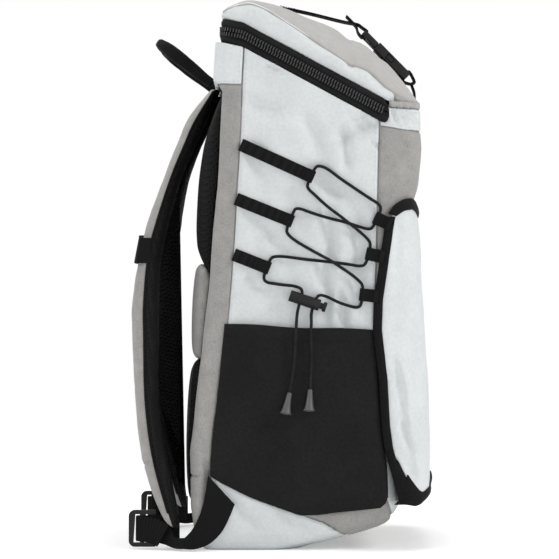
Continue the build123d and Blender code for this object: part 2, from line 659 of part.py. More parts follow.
# ---------------------------------------------------------------- shoulder straps
def strap_layer(face_line, back_line):
    """The part of the left shoulder strap between two side-view curves."""
    lines = [Spline(*[(0, y, z) for y, z in face_line]), Spline(*[(0, y, z) for y, z in back_line])]
    lines += [Line(lines[0] @ 0, lines[1] @ 0), Line(lines[0] @ 1, lines[1] @ 1)]
    block = extrude(make_face(lines), amount=2 * bag_half_width, dir=(-1, 0, 0))
    outer = Spline(*[(-(middle + half), 0, z) for z, middle, half in strap_plan])
    inner = Spline(*[(-(middle - half), 0, z) for z, middle, half in strap_plan])
    plan = make_face([outer, inner, Line(outer @ 0, inner @ 0), Line(outer @ 1, inner @ 1)])
    return block & extrude(plan, amount=2 * bag_half_width, dir=(0, 1, 0))


save(both_sides(strap_layer(strap_outer, strap_middle)), "shoulder_straps")
save(both_sides(strap_layer(strap_middle, strap_inner)), "strap_linings")


def ribbon(points, thickness):
    """Outline of a band of the given thickness along a line of (y, z) points."""
    upper, lower = [], []
    for number, (y, z) in enumerate(points):
        before = points[max(number - 1, 0)]
        after = points[min(number + 1, len(points) - 1)]
        run = hypot(after[0] - before[0], after[1] - before[1])
        side_y, side_z = -(after[1] - before[1]) / run, (after[0] - before[0]) / run
        upper.append((y + side_y * thickness / 2, z + side_z * thickness / 2))
        lower.append((y - side_y * thickness / 2, z - side_z * thickness / 2))
    return upper + lower[::-1]


# ---------------------------------------------------------------- side-release buckles
def make_buckle():
    """Male half, socket half and two prongs; x runs into the socket and z out of the face."""
    half = webbing / 2 + buckle_side
    bar_slot = Box(bar_slot_width, webbing + 2 * pin_clearance, 2 * buckle_thickness)
    base = Pos(-buckle_lip - buckle_base / 2, 0, 0) * Box(buckle_base, 2 * half, buckle_base_thickness)
    base = base - Pos(-buckle_lip - buckle_base + male_bar, 0, 0) * bar_slot
    arm_thick = buckle_mouth - 2 * buckle_clearance
    tongue = Pos(tongue_middle, 0, 0) * Box(prong_reach, tongue_width, arm_thick)
    arm_outer = half - buckle_wall - buckle_clearance
    arm_middle = arm_outer - prong_width / 2
    arm = Box(prong_reach + prong_root, prong_width, arm_thick)
    prong = Pos(-prong_root, arm_middle, 0) * Cylinder(prong_root_radius, arm_thick)
    prong = prong + Pos((prong_reach - prong_root) / 2, arm_middle, 0) * arm
    head = Box(prong_head, prong_width + buckle_wall, arm_thick)
    prong = prong + Pos(prong_reach - prong_head / 2, arm_middle + buckle_wall / 2, 0) * head
    seat = Cylinder(prong_root_radius + pin_clearance, 2 * buckle_thickness)
    seat = Pos(-prong_root, arm_middle, 0) * seat
    path = Box(2 * prong_root, prong_width + prong_swing, 2 * buckle_thickness)
    path = Pos(0, arm_middle - buckle_clearance, 0) * path
    for flip in (1, -1):
        turn = Rot(0, 0, 0) if flip == 1 else Rot(180, 0, 0)
        base = base - turn * seat - turn * path
    male = base + tongue
    socket = Pos(buckle_socket / 2 - buckle_overlap, 0, 0) * Box(buckle_socket, 2 * half, buckle_thickness)
    hollow_end = prong_reach + buckle_wall
    mouth = Box(2 * hollow_end, 2 * (half - buckle_wall), buckle_mouth)
    window = Box(prong_head + 2 * buckle_clearance, 4 * half, buckle_mouth)
    socket = socket - mouth - Pos(prong_reach - prong_head / 2, 0, 0) * window
    socket = socket - Pos(buckle_socket - buckle_overlap - socket_bar, 0, 0) * bar_slot
    return male, socket, prong, Rot(180, 0, 0) * prong


slope = radians(lid_buckle_slope)
lid_buckle_plane = Plane(origin=(0, *lid_buckle_joint), x_dir=(0, -cos(slope), -sin(slope)),
                         z_dir=(0, -sin(slope), cos(slope)))
lid_buckle = Location(lid_buckle_plane)
sternum_high = sternum_low + webbing
sternum_middle = (sternum_low + sternum_high) / 2
strap_by_height = [(z, y) for y, z in strap_outer]
band_rise = sternum_stand_off + webbing_thickness / 2
sternum_y = lerp_line(strap_by_height, sternum_middle) + band_rise
sternum_buckle = Location(Plane(origin=(0, sternum_y, sternum_middle), x_dir=(1, 0, 0), z_dir=(0, 1, 0)))
for place, name in ((lid_buckle, "lid"), (sternum_buckle, "sternum")):
    male, socket, prong_high, prong_low = make_buckle()
    save(place * male, f"{name}_buckle_male")
    save(place * socket, f"{name}_buckle_female")
    prongs = [place * prong_low, place * prong_high] if name == "lid" else [place * prong_high, place * prong_low]
    ends_named = ("left", "right") if name == "lid" else ("low", "high")
    for end, prong in zip(ends_named, prongs):
        save(prong, f"{name}_prong_{end}")

male_reach = buckle_base + buckle_lip + webbing_end_gap
socket_reach = buckle_socket - buckle_overlap + webbing_end_gap


def on_lid(distance):
    """The (y, z) point a distance down the lid strap from the buckle's joint."""
    joint_y, joint_z = lid_buckle_joint
    return (joint_y - distance * cos(slope), joint_z - distance * sin(slope))


lid_bands = []
for line in (lid_strap_rear + [on_lid(-male_reach)], [on_lid(socket_reach)] + lid_strap_front):
    lid_bands.append(side_region(ribbon(line, webbing_thickness), -webbing / 2, webbing / 2))
save(lid_bands, "lid_strap")

# ---------------------------------------------------------------- sternum strap
sternum_line = [(lerp_line(strap_by_height, z) + band_rise, z) for z in (sternum_low, sternum_high)]
strap_edge = lerp_line(strap_plan, sternum_middle) + lerp_line(strap_plan, sternum_middle, 2)
band_end = -strap_edge - sternum_stand_off - webbing_thickness
keeper = [(sternum_line[0][0] - keeper_depth, sternum_low), sternum_line[0], sternum_line[1],
          (sternum_line[1][0] - keeper_depth, sternum_high)]
keeper = side_region(keeper, band_end, band_end + webbing_thickness)
whole_strap = strap_layer(strap_outer, strap_inner)
sternum_bands = []
for reach in (male_reach, socket_reach):
    band = side_region(ribbon(sternum_line, webbing_thickness), band_end, -reach)
    sternum_bands.append(band + keeper - whole_strap)
save([sternum_bands[0], mirror(sternum_bands[1], about=Plane.YZ)], "sternum_strap")


# ---------------------------------------------------------------- ladder locks and lower webbing
def ladder_lock():
    """A ladder lock with its round bar upright at the origin, two flat bars beyond it and a rail at each end."""
    inner_half = ladder_width / 2 - ladder_bar / 2
    body = Cylinder(ladder_pin_radius, 2 * inner_half)
    for z in (-inner_half, inner_half):
        rail = Box(ladder_thickness, ladder_length, ladder_bar)
        body = body + Pos(0, ladder_length / 2 - ladder_pin_radius, z) * rail
    for reach in ladder_bars:
        body = body + Pos(0, reach, 0) * Box(ladder_thickness, ladder_bar, 2 * inner_half)
    corners = body.edges().filter_by(Axis.X).group_by(Axis.Y)[-1].group_by(Axis.Z)
    return fillet(corners[0] + corners[-1], ladder_corner)


pivot_x, pivot_y, pivot_z = ladder_pivot
pivot = Pos(-pivot_x, pivot_y, pivot_z)
for side, solid in zip(("left", "right"), both_sides(pivot * ladder_lock())):
    save(solid, f"ladder_lock_{side}")
loop_inner = ladder_pin_radius + pin_clearance
tab = Cylinder(loop_inner + tab_wall, webbing) + Pos(0, -tab_reach / 2, 0) * Box(tab_wall, tab_reach, webbing)
tab = pivot * (tab - Cylinder(loop_inner, 2 * webbing)) - whole_strap
tab = max(tab.solids(), key=lambda solid: solid.center().Y)
save(both_sides(tab), "strap_end_tabs")

wing_face = -bag_half_width - seat_gap
wing = side_region(wing_outline, wing_face - wing_thickness, wing_face)
save(both_sides(wing), "webbing_wings")
lower_out = wing_face - webbing_thickness
lower_plan = [(wing_face, 86), (wing_face, 94), (-119, 117), (-121.5, 117), (lower_out, 94.5), (lower_out, 86)]
lower_outline = Polyline(*[(x, y, lower_low) for x, y in lower_plan], close=True)
lower = extrude(make_face(lower_outline), amount=lower_width, dir=(0, 0, 1))
save(both_sides(lower - wing), "lower_webbings")

# ---------------------------------------------------------------- grab handle
rise = radians(handle_slope)
handle_plane = Plane(origin=(0, *handle_root), x_dir=(1, 0, 0), z_dir=(0, -sin(rise), cos(rise)))
handle_corners = [(-handle_half_span, handle_start), (-handle_half_span, handle_reach),
                  (handle_half_span, handle_reach), (handle_half_span, handle_start)]
handle_path = handle_plane * FilletPolyline(*handle_corners, radius=handle_bend)
section = RectangleRounded(handle_size, handle_size, handle_edge)
handle = sweep(Plane(origin=handle_path @ 0, x_dir=(1, 0, 0), z_dir=handle_path % 0) * section, path=handle_path)
for x in (-handle_half_span, handle_half_span):
    handle = handle + Pos(x, *handle_root) * rod(handle_hem_radius, -handle_size / 2, handle_size / 2)
save(handle, "grab_handle")
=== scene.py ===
import json
from math import cos, exp, hypot, pi, radians, sin, sqrt, tan

import bmesh
import bpy
from mathutils import Matrix, Vector, noise


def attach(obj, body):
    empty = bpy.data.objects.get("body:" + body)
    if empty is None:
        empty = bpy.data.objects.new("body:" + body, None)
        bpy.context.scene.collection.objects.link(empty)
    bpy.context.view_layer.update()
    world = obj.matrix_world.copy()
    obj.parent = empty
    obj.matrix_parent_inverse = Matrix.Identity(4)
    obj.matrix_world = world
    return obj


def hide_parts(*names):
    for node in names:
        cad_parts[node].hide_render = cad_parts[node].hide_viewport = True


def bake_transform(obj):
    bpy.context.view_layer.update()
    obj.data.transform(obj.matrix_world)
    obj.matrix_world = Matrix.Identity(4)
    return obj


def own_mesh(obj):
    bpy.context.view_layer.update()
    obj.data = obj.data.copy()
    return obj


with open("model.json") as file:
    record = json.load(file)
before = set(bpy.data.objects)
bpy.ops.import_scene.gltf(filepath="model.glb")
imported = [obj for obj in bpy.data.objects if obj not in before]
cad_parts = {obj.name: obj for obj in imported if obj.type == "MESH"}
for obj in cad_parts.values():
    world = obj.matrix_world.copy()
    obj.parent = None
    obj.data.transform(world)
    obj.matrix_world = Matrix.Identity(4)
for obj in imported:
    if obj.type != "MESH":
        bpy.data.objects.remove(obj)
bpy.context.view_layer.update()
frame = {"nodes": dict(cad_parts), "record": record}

mm = 0.001  # every length below is in mm, with x to the right, y to the wearer and z up
nodes = frame["nodes"]
print("frame loaded:", len(nodes), "nodes")


# reads rows of (place, value, value, ...) between their entries
def along(rows, place, column=1):
    if place <= rows[0][0]:
        return rows[0][column]
    for low, high in zip(rows, rows[1:]):
        if place <= high[0]:
            share = (place - low[0]) / (high[0] - low[0])
            return low[column] + share * (high[column] - low[column])
    return rows[-1][column]


# the same with its corners rounded over a reach
def eased(rows, place, column=1, reach=8):
    steps = (-1, -0.6, -0.2, 0.2, 0.6, 1)
    return sum(along(rows, place + step * reach, column) for step in steps) / len(steps)


# distance from a line of (y, z) points, and how far along the line that is
def nearestOn(line, y, z):
    best, place = 1e9, 0
    for number, ((y0, z0), (y1, z1)) in enumerate(zip(line, line[1:])):
        runY, runZ = y1 - y0, z1 - z0
        share = max(0, min(1, ((y - y0) * runY + (z - z0) * runZ) / (runY ** 2 + runZ ** 2)))
        distance = hypot(y - y0 - share * runY, z - z0 - share * runZ)
        if distance < best:
            best, place = distance, (number + share) / (len(line) - 1)
    return best, place


def lineDistance(line, y, z):
    return nearestOn(line, y, z)[0]


# a fold is deepest in the middle of its line and fades to both ends
def foldShape(line, y, z):
    distance, place = nearestOn(line, y, z)
    return distance, min(1, 0.3 + 3.2 * place * (1 - place))


def inside(outline, y, z):
    found = False
    for (y0, z0), (y1, z1) in zip(outline, outline[1:] + outline[:1]):
        if (z0 > z) != (z1 > z) and y < (y1 - y0) * (z - z0) / (z1 - z0) + y0:
            found = not found
    return found


def mix(a, b, share):
    return a + (b - a) * share


def bump(distance, width):
    return exp(-(distance / width) ** 2)


def rough(x, y, z, size):
    return noise.noise(Vector((x / size, y / size, z / size)))


# a flat grid laid onto a form: place(u, v) gives each point, and the UV map is in metres
def gridOnForm(columns, rows, place, size):
    bm = bmesh.new()
    bmesh.ops.create_grid(bm, x_segments=columns, y_segments=rows, size=0.5)
    uvMap = bm.loops.layers.uv.new("cloth")
    for face in bm.faces:
        for loop in face.loops:
            u, v = loop.vert.co.x + 0.5, loop.vert.co.y + 0.5
            loop[uvMap].uv = (u * size[0] * mm, v * size[1] * mm)
    for vert in bm.verts:
        vert.co = Vector(place(vert.co.x + 0.5, vert.co.y + 0.5)) * mm
    bmesh.ops.remove_doubles(bm, verts=bm.verts, dist=1e-6)
    return bm


def closeEnds(bm):
    openEdges = [edge for edge in bm.edges if edge.is_boundary]
    bmesh.ops.holes_fill(bm, edges=openEdges, sides=0)
    bmesh.ops.recalc_face_normals(bm, faces=bm.faces)


def faceOutwards(bm, centre):
    total = 0
    for face in bm.faces:
        total += face.normal.dot(face.calc_center_median() - Vector(centre) * mm) * face.calc_area()
    if total < 0:
        bmesh.ops.reverse_faces(bm, faces=bm.faces)


# turns a bmesh into a piece that rides on a body and stands for CAD nodes
def makePiece(bm, name, materials, body, stands=(), wall=0, lined=False, smooth=True):
    mesh = bpy.data.meshes.new(name)
    bm.to_mesh(mesh)
    bm.free()
    for material in materials:
        mesh.materials.append(material)
    mesh.polygons.foreach_set("use_smooth", [smooth] * len(mesh.polygons))
    piece = bpy.data.objects.new(name, mesh)
    bpy.context.collection.objects.link(piece)
    if wall:
        solid = piece.modifiers.new("wall", "SOLIDIFY")
        solid.thickness = wall * mm
        solid.offset = -1
        solid.material_offset = 1 if lined else 0
    if body:
        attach(piece, body)
    if stands:
        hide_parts(*stands)
    return piece


# a band or rope swept along points; width and thickness are numbers or functions of the way along
def sweptForm(points, wide, width, thickness, around=24, roundness=4.0):
    widthAt = width if callable(width) else lambda v: width
    thicknessAt = thickness if callable(thickness) else lambda v: thickness
    count = len(points) - 1
    run = sum((b - a).length for a, b in zip(points, points[1:]))

    def place(u, v):
        number = min(int(v * count), count - 1)
        centre = points[number].lerp(points[number + 1], v * count - number)
        before = points[max(number - 1, 0)]
        after = points[min(number + 2, count)]
        direction = (after - before).normalized()
        side = Vector(wide)
        side = (side - direction * side.dot(direction)).normalized()
        out = direction.cross(side)
        turn = 2 * pi * u
        across = abs(cos(turn)) ** (2 / roundness) * (1 if cos(turn) >= 0 else -1)
        up = abs(sin(turn)) ** (2 / roundness) * (1 if sin(turn) >= 0 else -1)
        return centre + side * across * (widthAt(v) / 2) + out * up * (thicknessAt(v) / 2)

    girth = 2 * (widthAt(0.5) + 1)
    bm = gridOnForm(around, count, place, (girth, run))
    closeEnds(bm)
    return bm


# a smooth line through points
def smoothPath(points, steps):
    points = [Vector(point) for point in points]
    found = []
    for number in range(len(points) - 1):
        p0 = points[max(number - 1, 0)]
        p1, p2 = points[number], points[number + 1]
        p3 = points[min(number + 2, len(points) - 1)]
        for step in range(steps):
            t = step / steps
            found.append(0.5 * (2 * p1 + (p2 - p0) * t + (2 * p0 - 5 * p1 + 4 * p2 - p3) * t ** 2
                                + (3 * p1 - p0 - 3 * p2 + p3) * t ** 3))
    return found + [points[-1]]


def linear(hexColour):
    parts = [int(hexColour[i:i + 2], 16) / 255 for i in (0, 2, 4)]
    parts = [part / 12.92 if part <= 0.04045 else ((part + 0.055) / 1.055) ** 2.4 for part in parts]
    return (*parts, 1.0)


def addNode(tree, kind, inputs=None, **settings):
    node = tree.nodes.new("ShaderNode" + kind)
    for name, value in settings.items():
        setattr(node, name, value)
    for name, value in (inputs or {}).items():
        if isinstance(value, bpy.types.NodeSocket):
            tree.links.new(value, node.inputs[name])
        else:
            node.inputs[name].default_value = value
    return node


# a new material with its nodes, its shader and the places that its patterns read
def newMaterial(name, specular=0.5):
    material = bpy.data.materials.new(name)
    material.use_nodes = True
    tree = material.node_tree
    shader = tree.nodes["Principled BSDF"]
    shader.inputs["Specular IOR Level"].default_value = specular
    return material, tree, shader, addNode(tree, "TexCoord").outputs


# gives a shader its colour, its relief (height in mm) and its finish
def dress(tree, shader, colour, relief, strength, height, roughness, invert=False):
    tree.links.new(colour, shader.inputs["Base Color"])
    reliefNode = addNode(tree, "Bump", {"Height": relief, "Strength": strength, "Distance": height * mm},
                         invert=invert)
    tree.links.new(reliefNode.outputs[0], shader.inputs["Normal"])
    shader.inputs["Roughness"].default_value = roughness


# a wave texture at scale 1 repeats every pi / 10 metres
def waveScale(spacing):
    return pi / 10 / (spacing * mm)


# sewn seams are drawn from the seam attribute, which fades from 1 at a seam to 0 at this many mm
seamReach = 10.0
stitching = {
    "shadow": "6E7072", "shadowShare": 0.8, "shadowFrom": 1.2, "shadowFull": 0.5,
    # the run of stitches beside the seam: where it starts, ends, and how soft its edges are
    "near": 2.6, "far": 3.8, "soft": 0.4, "length": 4.5,
}


def seamShade(distance):
    return 1 - distance / seamReach


def addStitches(tree, place, shown, thread):
    seam = addNode(tree, "Attribute", attribute_name="seam").outputs["Fac"]
    near, far, soft = stitching["near"], stitching["far"], stitching["soft"]
    crease = addNode(tree, "MapRange", {"Value": seam, "From Min": seamShade(stitching["shadowFrom"]),
                                        "From Max": seamShade(stitching["shadowFull"]),
                                        "To Max": stitching["shadowShare"]})
    shown = addNode(tree, "Mix", {"Factor": crease.outputs[0], 6: shown, 7: linear(stitching["shadow"])},
                    data_type="RGBA").outputs[2]
    nearEdge = addNode(tree, "MapRange", {"Value": seam, "From Min": seamShade(near),
                                          "From Max": seamShade(near + soft)})
    farEdge = addNode(tree, "MapRange", {"Value": seam, "From Min": seamShade(far),
                                         "From Max": seamShade(far - soft)})
    row = addNode(tree, "Math", {0: nearEdge.outputs[0], 1: farEdge.outputs[0]}, operation="MULTIPLY")
    split = addNode(tree, "SeparateXYZ", {"Vector": place})
    run = addNode(tree, "Math", {0: split.outputs["Y"], 1: split.outputs["Z"]}, operation="ADD")
    wave = addNode(tree, "Math", {0: run.outputs[0], 1: 2 * pi / (stitching["length"] * mm)},
                   operation="MULTIPLY")
    wave = addNode(tree, "Math", {0: wave.outputs[0]}, operation="SINE")
    dash = addNode(tree, "MapRange", {"Value": wave.outputs[0], "From Min": -0.6, "From Max": -0.2})
    row = addNode(tree, "Math", {0: row.outputs[0], 1: dash.outputs[0]}, operation="MULTIPLY")
    return addNode(tree, "Mix", {"Factor": row.outputs[0], 6: shown, 7: linear(thread)},
                   data_type="RGBA").outputs[2]


# cloth woven in two directions: its colour drifts softly and the thread shows in the relief
def wovenCloth(name, light, dark, thread, roughness=0.8, sheen=0.15, depth=0.25, onUv=False, patch=40,
               stitch=None, specular=0.3):
    material, tree, shader, places = newMaterial(name, specular)
    source = places["UV" if onUv else "Object"]
    drift = addNode(tree, "TexNoise", {"Vector": places["Object"], "Scale": 1000 / patch, "Detail": 4.0})
    fine = addNode(tree, "TexNoise", {"Vector": places["Object"], "Scale": 1000 / (2 * thread),
                                      "Detail": 3.0})
    shares = addNode(tree, "Math", {0: drift.outputs["Fac"], 1: fine.outputs["Fac"]}, operation="ADD")
    ramp = addNode(tree, "MapRange", {"Value": shares.outputs[0], "From Min": 0.75, "From Max": 1.25})
    shown = addNode(tree, "Mix", {"Factor": ramp.outputs[0], 6: linear(dark), 7: linear(light)},
                    data_type="RGBA").outputs[2]
    if stitch:
        shown = addStitches(tree, places["Object"], shown, stitch)
    weave = {"Vector": source, "Scale": waveScale(thread), "Distortion": 0.4}
    warp = addNode(tree, "TexWave", weave, bands_direction="X")
    weft = addNode(tree, "TexWave", weave, bands_direction="Y" if onUv else "Z")
    cross = addNode(tree, "Math", {0: warp.outputs["Fac"], 1: weft.outputs["Fac"]}, operation="MULTIPLY")
    height = addNode(tree, "Math", {0: cross.outputs[0], 1: fine.outputs["Fac"]}, operation="ADD")
    dress(tree, shader, shown, height.outputs[0], depth, thread / 2, roughness)
    shader.inputs["Sheen Weight"].default_value = sheen
    return material


# heathered wool-look felt: light and dark fibres mixed in clumps, with a soft nap
def felt(name, light, dark, fibre=1.4):
    material, tree, shader, places = newMaterial(name, 0.15)
    fibres = addNode(tree, "TexNoise", {"Vector": places["Object"], "Scale": 1000 / fibre, "Detail": 5.0,
                                        "Roughness": 0.7})
    clumps = addNode(tree, "TexNoise", {"Vector": places["Object"], "Scale": 1000 / (9 * fibre),
                                        "Detail": 3.0})
    shares = addNode(tree, "Math", {0: clumps.outputs["Fac"], 1: 0.4, 2: fibres.outputs["Fac"]},
                     operation="MULTIPLY_ADD")
    ramp = addNode(tree, "MapRange", {"Value": shares.outputs[0], "From Min": 0.48, "From Max": 0.92})
    colour = addNode(tree, "Mix", {"Factor": ramp.outputs[0], 6: linear(dark), 7: linear(light)},
                     data_type="RGBA")
    dress(tree, shader, colour.outputs[2], fibres.outputs["Fac"], 0.5, 0.6, 0.95)
    shader.inputs["Sheen Weight"].default_value = 0.2
    return material


# knitted spacer mesh: diamond holes, pitch mm apart, that show the dark foam behind
def spacerMesh(name, strand, hole, pitch):
    material, tree, shader, places = newMaterial(name, 0.15)
    turned = addNode(tree, "Mapping", {"Vector": places["Object"], "Rotation": [radians(45)] * 3,
                                       "Scale": [1000 / pitch] * 3})
    cells = addNode(tree, "TexVoronoi", {"Vector": turned.outputs[0], "Scale": 1.0, "Randomness": 0.0},
                    feature="DISTANCE_TO_EDGE")
    edge = addNode(tree, "MapRange", {"Value": cells.outputs["Distance"], "From Min": 0.1, "From Max": 0.3})
    colour = addNode(tree, "Mix", {"Factor": edge.outputs[0], 6: linear(strand), 7: linear(hole)},
                     data_type="RGBA")
    dress(tree, shader, colour.outputs[2], edge.outputs[0], 0.7, 1.2, 0.75, invert=True)
    return material


# flat webbing woven in ribs along its length
def webbingCloth(name, light, dark, rib, fibre=10 / 9):
    material, tree, shader, places = newMaterial(name, 0.08)
    ribs = addNode(tree, "TexWave", {"Vector": places["UV"], "Scale": waveScale(rib), "Distortion": 0.5,
                                     "Detail": 1.0}, bands_direction="Y")
    fine = addNode(tree, "TexNoise", {"Vector": places["Object"], "Scale": 1000 / fibre, "Detail": 2.0})
    height = addNode(tree, "Math", {0: ribs.outputs["Fac"], 1: fine.outputs["Fac"]}, operation="ADD")
    # the colour follows the ribs' height: lighter crests and darker grooves are painted highlight and shade,
    # mixed with a random fibre tone
    ramp = addNode(tree, "MapRange", {"Value": height.outputs[0], "From Min": 0.3, "From Max": 1.5})
    colour = addNode(tree, "Mix", {"Factor": ramp.outputs[0], 6: linear(dark), 7: linear(light)},
                     data_type="RGBA")
    dress(tree, shader, colour.outputs[2], height.outputs[0], 0.5, 0.6, 0.7)
    return material


# moulded plastic or coated metal: an even satin skin with a fine grain, in mm
def mouldedSkin(name, hexColour, roughness=0.42, grain=0.8, metallic=0.0, specular=0.5):
    material, tree, shader, places = newMaterial(name, specular)
    speckle = addNode(tree, "TexNoise", {"Vector": places["Object"], "Scale": 1000 / grain, "Detail": 2.0})
    light = tuple(min(1, part * 1.25) for part in linear(hexColour)[:3]) + (1.0,)
    dark = tuple(part * 0.8 for part in linear(hexColour)[:3]) + (1.0,)
    colour = addNode(tree, "Mix", {"Factor": speckle.outputs["Fac"], 6: dark, 7: light}, data_type="RGBA")
    dress(tree, shader, colour.outputs[2], speckle.outputs["Fac"], 0.15, 0.2, roughness)
    shader.inputs["Metallic"].default_value = metallic
    return material


# nylon shell cloth, woven and calendered: smooth cool white; its thread is drawn coarse so that it shows
shellNylon = wovenCloth("coatedNylonShell", "DDE1E2", "D2D6D7", 1.6, 0.6, 0.0, 0.1, stitch="CBCFD0")
# polyester felt needled from grey and white fibres: mottled and dull; the copy on the lid and the front hem
# is painted paler, standing in for the stronger light that falls there
greyFelt = felt("heatherFelt", "AEACA9", "8F8D8B")
feltLitFromAbove = felt("heatherFeltLitFromAbove", "B6B4B2", "A19F9C")
# four-way stretch knit: nearly black, and dull because its loops trap the light
stretchKnit = wovenCloth("stretchKnit", "232323", "1B1B1B", 1.4, 0.85, 0.0, 0.3, patch=60, specular=0.1)
# warp-knitted air mesh over foam: small dark holes between dull strands
airMesh = spacerMesh("airMesh", "161616", "050505", 3.0)
# polyester webbing, loomed with ribs, their crests painted lighter as a dull highlight; the handle's is
# tubular and finer
blackWebbing = webbingCloth("polyesterWebbing", "191919", "0C0C0C", 2.2)
gripWebbing = webbingCloth("tubularWebbing", "1A1A1A", "0B0B0B", 1.1)
# woven binding and zip tapes: black, flat, with a fine cross thread
bindingTape = wovenCloth("bindingTape", "141414", "090909", 1.2, 0.75, 0.0, 0.4, patch=20, specular=0.12)
zipTape = wovenCloth("zipTape", "1D1D1D", "111111", 1.3, 0.75, 0.0, 0.4, onUv=True, patch=20, specular=0.15)
# nylon wire pressed into a coil: shinier than its tape
coilNylon = mouldedSkin("nylonCoil", "222222", 0.4, 0.6)
# bonded nylon sewing thread: dark grey with a slight shine
threadNylon = mouldedSkin("stitchThread", "3A3A3A", 0.6, 0.5)
# acetal, injection moulded: even satin black, and grey at the cord ends
acetal = mouldedSkin("mouldedAcetal", "0E0E0E", 0.5, specular=0.25)
paleAcetal = mouldedSkin("mouldedAcetalGrey", "4A4A4A", 0.45)
# die-cast zinc with a baked black finish: smoother and brighter than the plastic
blackZinc = mouldedSkin("blackZinc", "202020", 0.35, 0.5, 0.6)
# braided polyester sheath over rubber cores: a fine crossed thread that breaks up the highlights
cordSheath = wovenCloth("braidedSheath", "1C1C1C", "0B0B0B", 1.0, 0.7, 0.0, 0.5, patch=8, specular=0.2)
# plain woven lining inside the bag: even dark grey
lining = wovenCloth("liningCloth", "4C4D4E", "3C3D3E", 1.5, 0.8, 0.1, 0.2)
# inside the back: waxy polyethylene sheet, softly shining anodised bars, matt closed-cell foam
sheetPlastic = mouldedSkin("ribbedPolyethylene", "1E1E1E", 0.5)
stayAlloy = mouldedSkin("anodisedAlloy", "B9BABC", 0.35, 0.5, 1.0)
foam = felt("closedFoam", "4E4E4E", "424242", 1.0)
# drawn spring steel wire: bright
springSteel = mouldedSkin("springSteel", "B4B4B4", 0.3, 0.4, 1.0)
print("materials made")

# the bag's shell: a grid laid round the bag, cut along its seams into panels
bag = {
    "halfWidth": 134.0, "flatHalf": 96, "frontRadius": 38.0, "rearRadius": 14.0, "top": 530.0,
    "middleY": 29.0,
    # the grid's cells round and up the bag, and its share that makes the base
    "around": 300, "up": 180, "baseShare": 0.08,
    # height, front, rear, how far the sides draw in
    "profile": [(0, -18, 76, 16), (6, -40, 81, 10), (12, -66, 84, 6), (23, -103, 86.5, 3),
                (46, -118, 89.5, 0), (100, -126, 90, 0), (186, -129, 79.5, 0), (262, -130, 71, 0),
                (340, -131.5, 65.5, 0), (358, -137.5, 63.5, 0), (395, -141, 60.5, 0),
                (438, -136.4, 58.5, 0), (453, -136.4, 58, 0), (457, -136.4, 68, 0), (500, -136.4, 65, 0),
                (530, -136.4, 61, 0)],
    "seamDepth": 1.5, "seamWidth": 2.6, "wall": 2.0, "far": 200,
    # how far the front draws back at its corners, and its share at each height
    "crown": 3.0, "crownShare": [(40, 0), (70, 1), (405, 1), (436, 0)],
    # where a side pocket lies over the cloth: front, rear, top; the most the cloth lifts, bare and covered
    "underPocket": (-104, 72, 222), "bareLift": 2.2, "coveredLift": 0.1,
}
# soft folds in the side panels: a line of (y, z), its width and its depth
sideFolds = [
    ([(-43, 330), (-47, 294), (-44, 262)], 8, 4.0), ([(-70, 330), (-78, 285), (-74, 246)], 9, 3.4),
    ([(-39, 280), (-45, 250), (-41, 216)], 7, 3.6),
    ([(-36, 395), (-58, 401), (-82, 411), (-100, 418)], 12, 5.0),
    ([(-56, 410), (-60, 388), (-62, 366)], 7, 3.4), ([(-84, 396), (-95, 388)], 3.5, 2.2),
    ([(-28, 368), (-44, 352), (-60, 340)], 11, 4.2), ([(-57, 250), (-60, 214)], 6, 4.0),
    ([(24, 326), (12, 310), (0, 292)], 11, 3.2), ([(19, 471), (-1, 463)], 4, 2.2),
    ([(38, 434), (20, 428), (-2, 425)], 9, 3.6), ([(-72, 426), (-89, 412)], 3.5, 2.0),
    ([(-64, 422), (-81, 406)], 4, 1.9), ([(30, 400), (22, 376), (16, 334)], 12, 2.8),
    ([(-18, 424), (-30, 404), (-36, 378)], 10, 2.8), ([(36, 330), (26, 310), (22, 280)], 10, 1.5),
    ([(-2, 350), (-4, 345), (-16, 312)], 12, 1.5), ([(38, 270), (20, 250), (-4, 236)], 11, 1.4),
    ([(2, 300), (-6, 280), (-12, 252)], 12, 1.3), ([(60, 60), (40, 30), (20, 14)], 9, 1.6),
    ([(-30, 34), (-46, 22), (-58, 12)], 7, 2.0), ([(4, 40), (-12, 24), (-30, 12)], 10, 1.6),
]
# raised creases beside the hollows
sideRidges = [([(50, 247), (36, 258), (20, 269)], 3.5, 1.4), ([(-70, 242), (-74, 222)], 6, 1.2),
              ([(-109, 364), (-110, 338)], 3, 1.3)]
# folds in the felt at the rear and across the front's corners
gussetFolds = [([(66, 86), (72, 62), (74, 40)], 6, 3.0), ([(76, 98), (72, 74), (66, 54)], 5, 2.4),
               ([(58, 240), (64, 200), (66, 150)], 9, 1.0), ([(46, 400), (50, 350), (52, 300)], 9, 0.9)]
frontFolds = [([(-118, 434), (-128, 424), (-138, 412)], 3.0, 3.6),
              ([(-111, 433), (-118, 424), (-126, 410)], 2.8, 3.4),
              ([(-105, 433), (-109, 424), (-114, 411)], 2.8, 3.0),
              ([(-126, 434), (-140, 424), (-150, 414)], 3.4, 3.0),
              ([(-110, 400), (-122, 372), (-128, 350)], 12, 1.6),
              ([(-100, 380), (-108, 360), (-112, 345)], 10, 1.2)]


